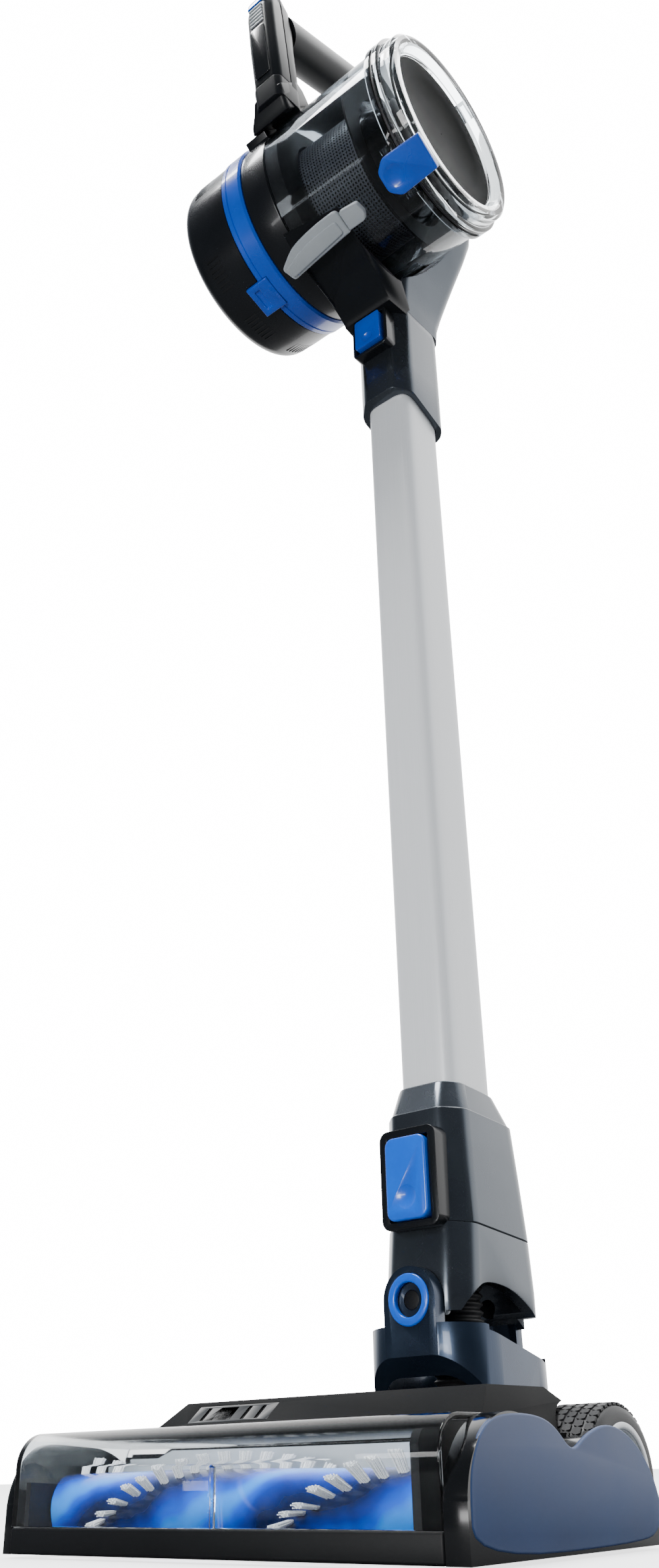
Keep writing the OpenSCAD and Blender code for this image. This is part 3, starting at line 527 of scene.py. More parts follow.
@dataclass(frozen=True)
class Fibre(Finish):
    """Nylon filament or filter felt, whose strands lie along an axis.

    Args:
        tone: Main colour.
        shade: Colour between the strands.
        strand_mm: Distance between strands.
    """

    tone: str = "#EEF1F3"
    shade: str = "#B4BBC2"
    strand_mm: float = 0.5

    def build(self) -> bpy.types.Material:
        """Builds the fibre."""
        material, tree, shader, coords = self.shader()
        strands = add(tree, "ShaderNodeTexNoise",
                      inputs={"Vector": coords, "Scale": 1000 / self.strand_mm, "Detail": 2.0})
        colour = ramp(tree, strands.outputs[0], [(0.35, self.shade), (0.6, self.tone)])
        tree.links.new(colour, shader.inputs["Base Color"])
        bump = add(tree, "ShaderNodeBump",
                   inputs={"Height": strands.outputs[0], "Strength": 0.5, "Distance": 0.1 * MM})
        tree.links.new(bump.outputs[0], shader.inputs["Normal"])
        shader.inputs["Roughness"].default_value = 0.55
        shader.inputs["Sheen Weight"].default_value = 0.2
        return material


class Paintbox:
    """Holds every finish of the object and builds each one once."""

    def __init__(self) -> None:
        """Lists the finishes."""
        low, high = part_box("brush_core")
        core = ((low.y + high.y) / 2, (low.z + high.z) / 2)
        finishes = [
            # Spark-eroded ABS: charcoal, its fine grain breaks up highlights.
            Moulded("moulded_abs_charcoal", "housing_black", "#0D0E11", "#08090B", 0.48, Grain.SPARKED,
                     0.7, 0.03, specular=0.25),
            # Polished ABS: near black with sharp softbox reflections.
            Moulded("polished_abs_black", "housing_black", "#0A0B0D", "#060708", 0.14, coat=0.2),
            # Flake lacquer over ABS: gunmetal that turns from bright to black with its surroundings.
            Moulded("lacquered_abs_gunmetal", "housing_gloss", "#4A5057", "#40464D", 0.26, metallic=0.8,
                     coat=0.4),
            # Lacquered ABS, darker, on the frame and head cover.
            Moulded("lacquered_abs_slate", "housing_gloss", "#15181C", "#101215", 0.24, metallic=0.2,
                     coat=0.2, specular=0.35),
            # Textured ABS of the head cover, which reflects little at a low angle.
            Moulded("textured_abs_black", "housing_gloss", "#0D0F11", "#090A0B", 0.68, Grain.SPARKED, 0.6,
                     0.02, specular=0.1),
            # Soft-touch ABS of the handle.
            Moulded("soft_touch_abs", "housing_gloss", "#16181C", "#111316", 0.4, Grain.SPARKED, 0.5, 0.01,
                     specular=0.2),
            # Satin slate-blue ABS of the head's end plates.
            Moulded("satin_abs_slate_blue", "slate_blue", "#264270", "#213B66", 0.5, Grain.SPARKED, 0.5,
                     0.012),
            # Flake lacquer with a blue cast on the yoke.
            Moulded("lacquered_abs_steel_blue", "housing_gloss", "#2C3A4E", "#232F40", 0.28, metallic=0.7,
                     coat=0.3),
            # Deep blue polished ABS of the latches and rings.
            Moulded("polished_abs_blue", "accent_blue", "#0056D6", "#004AC0", 0.26, coat=0.5),
            # Brighter blue polished ABS that is pressed by thumb.
            Moulded("polished_abs_button_blue", "button_blue", "#006CF4", "#005EE2", 0.24, coat=0.5),
            # Painted light grey ABS of the lever.
            Moulded("satin_abs_light_grey", "lever_grey", "#B4BABE", "#A4ABB0", 0.35),
            # Battery housing, dark satin.
            Moulded("satin_abs_graphite", "battery", "#6A6F75", "#5C6167", 0.35, coat=0.25),
            # Nitrile rubber: matte with a dusty bloom.
            Moulded("moulded_rubber", "rubber", "#17181A", "#0E0F10", 0.55, Grain.SPARKED, 0.5, 0.03),
            Moulded("tyre_rubber", "tyre", "#1C1E21", "#131416", 0.5, Grain.SPARKED, 0.8, 0.05),
            Moulded("board_laminate", "board_green", "#14532B", "#0F4022", 0.4),
            # Lacquered drawn aluminium: silver white with faint drawing lines along it.
            Metal("lacquered_aluminium", "wand_silver", "#F6F8FA", "#F0F3F5", 0.32, (2500.0, 2500.0, 12.0),
                  0.12, 0.002),
            Metal("ground_steel", "steel", "#B9BDC1", "#9DA2A7", 0.22, (40.0, 2500.0, 2500.0)),
            Metal("turned_brass", "brass", "#C6A05A", "#A88443", 0.25, (2500.0, 300.0, 300.0)),
            Metal("plated_can", "motor_metal", "#9AA0A6", "#858B91", 0.32, (30.0, 1200.0, 1200.0)),
            Clear("clear_polycarbonate", "clear_plastic"),
            # The cup's clear plastic is tinted grey as painted shade: the tint darkens the inside of the cup seen
            # through it.
            Clear("smoked_polycarbonate", "clear_plastic", "#9DA3A8"),
            Swirled("swirled_acetal", "accent_blue", core),
            Fibre("nylon_bristle", "bristle", "#FFFFFF", "#DDE2E6"),
            Fibre("pleated_felt", "filter_media", "#E6E8E9", "#C2C6C9", 0.9),
        ]
        self.finishes = {f.name: f for f in finishes}
        self.made: dict[str, bpy.types.Material] = {}

    def get(self, name: str) -> bpy.types.Material:
        """Returns the material of that name, building it the first time."""
        if name not in self.made:
            self.made[name] = self.finishes[name].build()
        return self.made[name]

    def dress(self, piece: Piece, name: str, body: str, *nodes: str) -> Piece:
        """Gives a piece its finish, its body and the nodes it stands for."""
        piece.data.materials.clear()
        piece.data.materials.append(self.get(name))
        for polygon in piece.data.polygons:
            polygon.material_index = 0
        return place(piece, body, self.finishes[name].slot, *nodes)


PAINT = Paintbox()


# ---------------------------------------------------------------- repeated shapes

def repeat_tree() -> bpy.types.NodeTree:
    """Builds the tree that sets one shape on every point, turned and sized, with a small seeded jitter."""
    tree = bpy.data.node_groups.new("repeat_on_points", "GeometryNodeTree")
    face = tree.interface
    face.new_socket("Points", in_out="INPUT", socket_type="NodeSocketGeometry")
    face.new_socket("Shape", in_out="INPUT", socket_type="NodeSocketObject")
    face.new_socket("Size", in_out="INPUT", socket_type="NodeSocketFloat").default_value = 1.0
    face.new_socket("Jitter", in_out="INPUT", socket_type="NodeSocketFloat")
    face.new_socket("Seed", in_out="INPUT", socket_type="NodeSocketInt")
    face.new_socket("Finish", in_out="INPUT", socket_type="NodeSocketMaterial")
    face.new_socket("Pieces", in_out="OUTPUT", socket_type="NodeSocketGeometry")
    given = add(tree, "NodeGroupInput")
    shape = add(tree, "GeometryNodeObjectInfo", inputs={"Object": given.outputs["Shape"]})
    turn = add(tree, "GeometryNodeInputNamedAttribute", {"data_type": "FLOAT_VECTOR"}, {"Name": "turn"})
    low = add(tree, "ShaderNodeMath", {"operation": "MULTIPLY"}, {0: given.outputs["Jitter"], 1: -1.0})
    wobble = add(tree, "FunctionNodeRandomValue", {"data_type": "FLOAT"},
                 {2: low.outputs[0], 3: given.outputs["Jitter"], "Seed": given.outputs["Seed"]})
    lean = add(tree, "ShaderNodeCombineXYZ", inputs={0: wobble.outputs[1], 1: wobble.outputs[1]})
    total = add(tree, "ShaderNodeVectorMath", {"operation": "ADD"}, {0: turn.outputs[0], 1: lean.outputs[0]})
    size = add(tree, "ShaderNodeCombineXYZ", inputs={0: given.outputs["Size"], 1: given.outputs["Size"],
                                                     2: given.outputs["Size"]})
    copies = add(tree, "GeometryNodeInstanceOnPoints",
                 inputs={"Points": given.outputs["Points"], "Instance": shape.outputs["Geometry"],
                         "Rotation": total.outputs[0], "Scale": size.outputs[0]})
    real = add(tree, "GeometryNodeRealizeInstances", inputs={0: copies.outputs[0]})
    painted = add(tree, "GeometryNodeSetMaterial", inputs={"Geometry": real.outputs[0],
                                                           "Material": given.outputs["Finish"]})
    add(tree, "NodeGroupOutput", inputs={0: painted.outputs[0]})
    return tree


def perforate_tree() -> bpy.types.NodeTree:
    """Builds the tree that opens a hole in every face of a sheet."""
    tree = bpy.data.node_groups.new("perforate_faces", "GeometryNodeTree")
    face = tree.interface
    face.new_socket("Sheet", in_out="INPUT", socket_type="NodeSocketGeometry")
    face.new_socket("Open share", in_out="INPUT", socket_type="NodeSocketFloat").default_value = 0.6
    face.new_socket("Finish", in_out="INPUT", socket_type="NodeSocketMaterial")
    face.new_socket("Screen", in_out="OUTPUT", socket_type="NodeSocketGeometry")
    given = add(tree, "NodeGroupInput")
    inner = add(tree, "GeometryNodeExtrudeMesh", {"mode": "FACES"},
                {"Mesh": given.outputs["Sheet"], "Offset Scale": 0.0, "Individual": True})
    shrunk = add(tree, "GeometryNodeScaleElements", inputs={"Geometry": inner.outputs["Mesh"],
                                                            "Selection": inner.outputs["Top"],
                                                            "Scale": given.outputs["Open share"]})
    opened = add(tree, "GeometryNodeDeleteGeometry", {"domain": "FACE", "mode": "ALL"},
                 {"Geometry": shrunk.outputs[0], "Selection": inner.outputs["Top"]})
    painted = add(tree, "GeometryNodeSetMaterial", inputs={"Geometry": opened.outputs[0],
                                                           "Material": given.outputs["Finish"]})
    add(tree, "NodeGroupOutput", inputs={0: painted.outputs[0]})
    return tree


def run_tree(piece: Piece, tree: bpy.types.NodeTree, **inputs: object) -> Piece:
    """Runs a tree on a piece and keeps the result as a plain mesh."""
    step = piece.modifiers.new("nodes", "NODES")
    step.node_group = tree
    for item in tree.interface.items_tree:
        key = item.name.replace(" ", "_")
        if item.in_out == "INPUT" and key in inputs:
            step[item.identifier] = inputs[key]
    return settle(piece)


REPEAT = repeat_tree()
PERFORATE = perforate_tree()


def repeated(name: str, shape: Piece, points: Sequence[Point], turns: Sequence[Point],
             finish: str, body: str, *nodes: str, jitter: float = 0.0, seed: int = 7) -> Piece:
    """Sets copies of a shape on points and dresses the result.

    Args:
        name: The piece's name.
        shape: The shape, drawn round the origin. It is removed afterwards.
        points: Where the copies go, in millimetres.
        turns: Euler angles of each copy, in radians.
        finish: The finish's name.
        body: The body it rides on.
        nodes: The CAD nodes it stands for.
        jitter: Largest random turn, in radians.
        seed: Seed of the jitter.

    Returns:
        One plain object with every copy.
    """
    piece = mesh_object(name, points, [])
    attribute = piece.data.attributes.new("turn", "FLOAT_VECTOR", "POINT")
    attribute.data.foreach_set("vector", [c for turn in turns for c in turn])
    run_tree(piece, REPEAT, Shape=shape, Size=1.0, Jitter=jitter, Seed=seed, Finish=PAINT.get(finish))
    bpy.data.objects.remove(shape)
    return PAINT.dress(piece, finish, body, *nodes)


def soft_outline(corners: Sequence[tuple[float, float, float]], steps: int = 5) -> list[tuple[float, float]]:
    """Rounds the corners of a polygon.

    Args:
        corners: X, Y and the length trimmed off each corner.
        steps: Steps per corner.

    Returns:
        The rounded outline.
    """
    outline = []
    size = len(corners)
    for i, (x, y, trim) in enumerate(corners):
        here = Vector((x, y))
        before, after = (Vector(corners[(i + k) % size][:2]) - here for k in (-1, 1))
        a = here + before.normalized() * min(trim, before.length * 0.49)
        b = here + after.normalized() * min(trim, after.length * 0.49)
        for k in range(steps + 1):
            t = k / steps
            p = a * (1 - t) ** 2 + here * 2 * t * (1 - t) + b * t ** 2
            outline.append((p.x, p.y))
    return outline


def housing_ring(z: float, half_w: float, front: float, back: float, chamfer: float = 11.0,
                 rear: float = 9.0, trim: float = 4.0, lift: float = 0.0) -> list[Point]:
    """A plan ring with chamfered front corners and rounded rear ones, that may rise to the rear."""
    soft = trim + 2
    corners = [(-half_w + chamfer, front, trim), (half_w - chamfer, front, trim),
               (half_w, front + chamfer, trim), (half_w, back - rear, soft), (half_w - rear, back, soft),
               (-half_w + rear, back, soft), (-half_w, back - rear, soft), (-half_w, front + chamfer, trim)]
    return [(x, y, z + lift * (y - front) / (back - front)) for x, y in soft_outline(corners)]


def cut(piece: Piece, cutter: Piece) -> Piece:
    """Takes a cutter away from a piece and removes the cutter."""
    step = piece.modifiers.new("cut", "BOOLEAN")
    step.operation = "DIFFERENCE"
    step.solver = "EXACT"
    step.object = cutter
    settle(piece)
    bpy.data.objects.remove(cutter)
    return piece


def block(name: str, low: Point, high: Point) -> Piece:
    """A plain box between two corners, used as a cutter or as the start of a rounded piece."""
    outline = [(low[0], low[1]), (high[0], low[1]), (high[0], high[1]), (low[0], high[1])]
    return slab(name, outline, low[2], high[2])


def stretch(piece: Piece, beyond: float, by: float) -> Piece:
    """Moves the points of a piece past an X, on its outer side, further along X."""
    side = 1.0 if by > 0 else -1.0
    for vertex in piece.data.vertices:
        if vertex.co.x * side > beyond * side * MM:
            vertex.co.x += by * MM
    return piece


def rod(name: str, start: Point, end: Point, radius: float, count: int = 64) -> Piece:
    """A round bar between two points."""
    a, b = Vector(start), Vector(end)
    put = Matrix.Translation(a) @ (b - a).to_track_quat("Z", "Y").to_matrix().to_4x4()
    turns = [math.tau * i / count for i in range(count)]
    ring = [(radius * math.cos(t), radius * math.sin(t)) for t in turns]
    return slab(name, ring, 0.0, (b - a).length, put)


def sweep(name: str, path: Sequence[tuple[float, float]], sizes: Sequence[tuple[float, float]],
          power: float = 2.6, count: int = 40) -> Piece:
    """Sweeps a rounded section along a path in Y and Z.

    Args:
        name: The piece's name.
        path: Points of the centreline.
        sizes: Half width along X and half thickness at each point.
        power: Squareness of the section.
        count: Points of the section.

    Returns:
        The swept object.
    """
    rings = []
    for i, (y, z) in enumerate(path):
        a, b = path[max(i - 1, 0)], path[min(i + 1, len(path) - 1)]
        run = Vector((b[0] - a[0], b[1] - a[1])).normalized()
        across = Vector((-run.y, run.x))
        half_w, half_t = sizes[i]
        ring = []
        for k in range(count):
            t = math.tau * k / count
            c, s = math.cos(t), math.sin(t)
            u = half_w * math.copysign(abs(c) ** (2 / power), c)
            v = half_t * math.copysign(abs(s) ** (2 / power), s)
            ring.append((u, y + across.x * v, z + across.y * v))
        rings.append(ring)
    return loft(name, rings)


def bezier(a: Point, b: Point, c: Point, d: Point, steps: int) -> list[tuple[float, float]]:
    """Points of a cubic curve in a plane, without its last one."""
    points = []
    for k in range(steps):
        t = k / steps
        w = ((1 - t) ** 3, 3 * t * (1 - t) ** 2, 3 * t * t * (1 - t), t ** 3)
        points.append(tuple(sum(wi * p[i] for wi, p in zip(w, (a, b, c, d))) for i in (0, 1)))
    return points


def ball(centre: Point, radius: float, segments: int) -> Piece:
    """A ball used as a cutter, with its place in its mesh."""
    bpy.ops.mesh.primitive_uv_sphere_add(segments=segments, ring_count=segments // 2, radius=radius * MM,
                                         location=Vector(centre) * MM)
    shape = bpy.context.object
    shape.data.transform(shape.matrix_world)
    shape.matrix_world = Matrix.Identity(4)
    return shape


def wand_mouth(low: float, high: float) -> Piece:
    """The cutter for a socket that takes the wand, between two heights."""
    w_low, w_high = span("wand_tube")
    return loft(CUTTER, [plan_ring(z, w_high.x + PLAY, w_low.y - PLAY, w_high.y + WAND_DEEPER + PLAY, 4.5)
                         for z in (low, high)])


def thumb_button(node: str, name: str, corner: float, dip: float, share: float = 0.9) -> Piece:
    """Makes a release button with rounded corners and a thumb dimple near its lower end.

    Args:
        node: The CAD node it stands for.
        name: Name of the piece.
        corner: Radius of its corners.
        dip: Radius of the dimple.
        share: Width as a share of the node's.

    Returns:
        The button.
    """
    low, high = span(node)
    mid = (low.z + high.z) / 2
    across, tall, depth = high.x - low.x, high.z - low.z, 1.6
    put = Matrix.Translation(((low.x + high.x) / 2, low.y, mid)) @ FRONT_ON
    piece = slab(name, rounded(across * share, tall - 1.6, corner), 0.0, high.y - low.y, put)
    radius = (dip ** 2 + depth ** 2) / (2 * depth)
    cut(piece, ball(((low.x + high.x) / 2, low.y + depth - radius, mid - tall * 0.22), radius, 96))
    return bevel(piece, 1.1)


def report(group: str, *pieces: Piece) -> None:
    """Logs the pieces of a group with their face counts."""
    for piece in pieces:
        LOG.info("%s: %s, %d faces", group, piece.name, len(piece.data.polygons))


def rounded_copies(group: str, table: Sequence[tuple[str, str, float]]) -> None:
    """Stands a rounded copy in for each CAD node.

    Args:
        group: The group's name in the log.
        table: CAD node, finish and bevel width in millimetres. A width of zero keeps the node itself.
    """
    for node, finish, width in table:
        if width > 0:
            piece = bevel(copy_of(node, f"{node}_moulding"), width)
            PAINT.dress(piece, finish, NODE_BODY[node], node)
        else:
            piece = frame["nodes"][node]
            piece.data.materials.clear()
            piece.data.materials.append(PAINT.get(finish))
        report(group, piece)


# ---------------------------------------------------------------- floor head

@dataclass
class FloorHead:
    """The powered floor head, with its brush, wheels and covers.

    Args:
        tuft_pitch: Distance between tufts along the brush.
        tuft_reach: How far a tuft reaches from the axis.
        filaments: Filaments drawn in a tuft, fewer and coarser than real ones.
        tuft_width: Width of a tuft.
        tuft_lead: Length in which a strip of tufts winds once round.
        tuft_start: X at which the first strip passes the lower front.
        tread_rows: Rows of tread blocks on a tyre.
        tread_count: Blocks in a row.
        overhang: How far the left end stands out past the nominal width.
        cap_width: Width of the right end's cap beside the window.
    """

    tuft_pitch: float = 7.4
    tuft_reach: float = 20.5
    filaments: int = 15
    tuft_width: float = 5.4
    tuft_lead: float = 218.0
    tuft_start: float = -82.0
    tread_rows: int = 5
    tread_count: int = 44
    overhang: float = 4.5
    cap_width: float = 11.0
    body: str = "floor_head"

    def covers(self) -> None:
        """Dresses the mouldings of the head."""
        rounded_copies("head", [
            ("top_cover", "textured_abs_black", 2.4),
            ("cover_inlay", "polished_abs_black", 0.4),
            ("rear_squeegee", "moulded_rubber", 0.6), ("head_base", "moulded_abs_charcoal", 0.0),
            ("head_duct", "moulded_abs_charcoal", 0.0), ("wheel_axles", "ground_steel", 0.0),
            ("tilt_pins", "ground_steel", 0.0), ("screws", "ground_steel", 0.0),
            ("brush_bushes", "turned_brass", 0.0),
            ("brush_motor", "plated_can", 0.0), ("motor_pulley", "turned_brass", 0.0),
            ("brush_pulley", "ground_steel", 0.0), ("drive_belt", "moulded_rubber", 0.0),
            ("front_rollers", "moulded_rubber", 0.8), ("brush_core", "swirled_acetal", 0.4),
        ])

    def front(self) -> None:
        """Makes the hood, the bumper and the end caps, whose joints lie near the ends of the head."""
        cap_low, cap_high = span("end_cap_right")
        joint = cap_high.x - self.cap_width
        grow = joint - cap_low.x
        hood, strip = copy_of("head_hood", "hood_window"), copy_of("bumper_strip", "bumper_moulding")
        for piece in (hood, strip):
            stretch(stretch(piece, cap_low.x - 12, grow), -112, -self.overhang)
        right = copy_of("end_cap_right", "end_cap_right_moulding")
        cut(right, block(CUTTER, (cap_low.x - 20, cap_low.y - 9, cap_low.z - 9),
                         (joint + 0.1, cap_low.y + 60, cap_high.z + 9)))
        left = stretch(copy_of("end_cap_left", "end_cap_left_moulding"), 0, -self.overhang)
        report("head", PAINT.dress(bevel(hood, 0.6), "clear_polycarbonate", self.body, "head_hood"),
               PAINT.dress(bevel(strip, 1.2), "moulded_abs_charcoal", self.body, "bumper_strip"),
               PAINT.dress(bevel(right, 1.4), "polished_abs_black", self.body, "end_cap_right"),
               PAINT.dress(bevel(left, 1.2), "polished_abs_black", self.body, "end_cap_left"))

    def plate(self) -> None:
        """Makes the coloured plate on the drive-side end, whose outline is a lobe and a wheel arch."""
        low, high = span("end_cap_right")
        top, base = high.z - 0.6, low.z + 1.2
        steps = [(1.6, base), (1.6, top - 26), (4, top - 16), (12, top - 5), (24, top), (50, top),
                 (64, top - 4), (75.5, top - 14), (88, top - 7), (106, top - 2.6), (124, top - 7),
                 (138, top - 18), (145, top - 32), (142, top - 43), (127, base)]
        outline = soft_outline([(low.y + y, z, 99.0) for y, z in steps], 6)
        put = Matrix.Translation((high.x - 2.0, 0, 0)) @ SIDE_ON
        piece = bevel(slab("end_plate_right", outline, 0.0, 2.5, put), 0.9)
        report("head", PAINT.dress(piece, "satin_abs_slate_blue", self.body))

    def lining(self) -> None:
        """Makes the pale lining behind the brush."""
        core_low, core_high = span("brush_bristles")
        back = core_high.y + 6.0
        outline = [(core_low.x - 2, 12), (core_high.x + 2, 12), (core_high.x + 2, 46), (-90, 46), (-98, 40),
                   (core_low.x - 2, 40)]
        put = Matrix.Translation((0, back, 0)) @ FRONT_ON
        lining = bevel(slab("chamber_lining", outline, 0.0, 0.7, put), 0.2)
        report("head", PAINT.dress(lining, "satin_abs_light_grey", self.body))

    def tuft(self) -> Piece:
        """Draws one tuft of nylon filaments standing along +Z from the core's axis."""
        core_low, core_high = span("brush_core")
        inner = (core_high.z - core_low.z) / 2 - 0.3
        w = 0.24
        points: list[Point] = []
        faces: list[Sequence[int]] = []
        for i in range(self.filaments):
            share = (i + 0.5) / self.filaments - 0.5
            x0, x1 = share * self.tuft_width * 0.86, share * self.tuft_width * 1.12
            y0 = 0.5 * math.sin(i * 2.4)
            tall = self.tuft_reach - 0.5 * abs(math.sin(i * 1.7))
            base = len(points)
            points += [(x + u * w, y + v * w, z) for x, y, z in ((x0, y0, inner), (x1, y0 * 1.8, tall))
                       for u, v in ((-1, -1), (1, -1), (1, 1), (-1, 1))]
            faces += [tuple(base + k for k in f) for f in
                      ((0, 1, 5, 4), (1, 2, 6, 5), (2, 3, 7, 6), (3, 0, 4, 7), (4, 5, 6, 7), (3, 2, 1, 0))]
        return mesh_object("tuft", points, faces)

    def brush(self) -> None:
        """Winds two strips of tufts round the core."""
        low, high = span("brush_bristles")
        core_low, core_high = span("brush_core")
        axis_y, axis_z = (core_low.y + core_high.y) / 2, (core_low.z + core_high.z) / 2
        points, turns = [], []
        count = int((high.x - low.x) / self.tuft_pitch)
        for strip in range(2):
            for i in range(count):
                x = low.x + (i + 0.5) * (high.x - low.x) / count
                angle = math.radians(204 + 180 * strip - 360 * (x - self.tuft_start) / self.tuft_lead)
                points.append((x, axis_y, axis_z))
                turns.append((angle - math.pi / 2, 0.0, 0.0))
        report("head", repeated("brush_tufts", self.tuft(), points, turns, "nylon_bristle", "brush",
                                "brush_bristles", jitter=0.05, seed=11))

    def wheels(self) -> None:
        """Makes the treaded tyres and their hubs."""
        for side in ("left", "right"):
            low, high = span(f"tyre_{side}")
            centre = ((low.y + high.y) / 2, (low.z + high.z) / 2)
            radius = (high.z - low.z) / 2
            a, b, r, inner = low.x, high.x, radius - 0.7, radius - 8.0
            body = f"{side}_wheel"
            outline = [(a, inner), (a, r - 4), (a + 1.2, r - 1.4), (a + 4, r), (b - 4, r), (b - 1.2, r - 1.4),
                       (b, r - 4), (b, inner)]
            tyre = turned(f"tyre_carcass_{side}", outline, centre)
            smooth(tyre, 50)
            report("head", PAINT.dress(tyre, "tyre_rubber", body, f"tyre_{side}"))
            points, turns = [], []
            for row in range(self.tread_rows):
                for i in range(self.tread_count):
                    t = math.tau * (i + 0.5 * (row % 2)) / self.tread_count
                    x = a + 4.6 + (b - a - 9.2) * row / (self.tread_rows - 1)
                    points.append((x, centre[0], centre[1]))
                    turns.append((t, 0.0, 0.0))
            lug = slab("lug", [(-2.1, -1.2), (0, -2.0), (2.1, -1.2), (2.1, 1.2), (0, 2.0), (-2.1, 1.2)],
                       r - 0.4, radius)
            report("head", repeated(f"tyre_tread_{side}", lug, points, turns, "tyre_rubber", body))
            out, sign = (b, 1) if side == "right" else (a, -1)
            steps = ((-3, 0), (0.5, 0), (0.5, 2.4), (-1.5, 3.6), (-3, 3.6))
            outline = [(out + sign * x, inner - y) for x, y in steps]
            rim = turned(f"wheel_rim_{side}", outline, centre)
            report("head", PAINT.dress(bevel(rim, 0.5), "lacquered_aluminium", body))
            rounded_copies("head", [(f"wheel_{side}", "satin_abs_light_grey", 0.5)])

    def build(self) -> None:
        """Builds the whole head."""
        self.covers()
        self.front()
        self.plate()
        self.lining()
        self.brush()
        self.wheels()


# ---------------------------------------------------------------- neck and wand

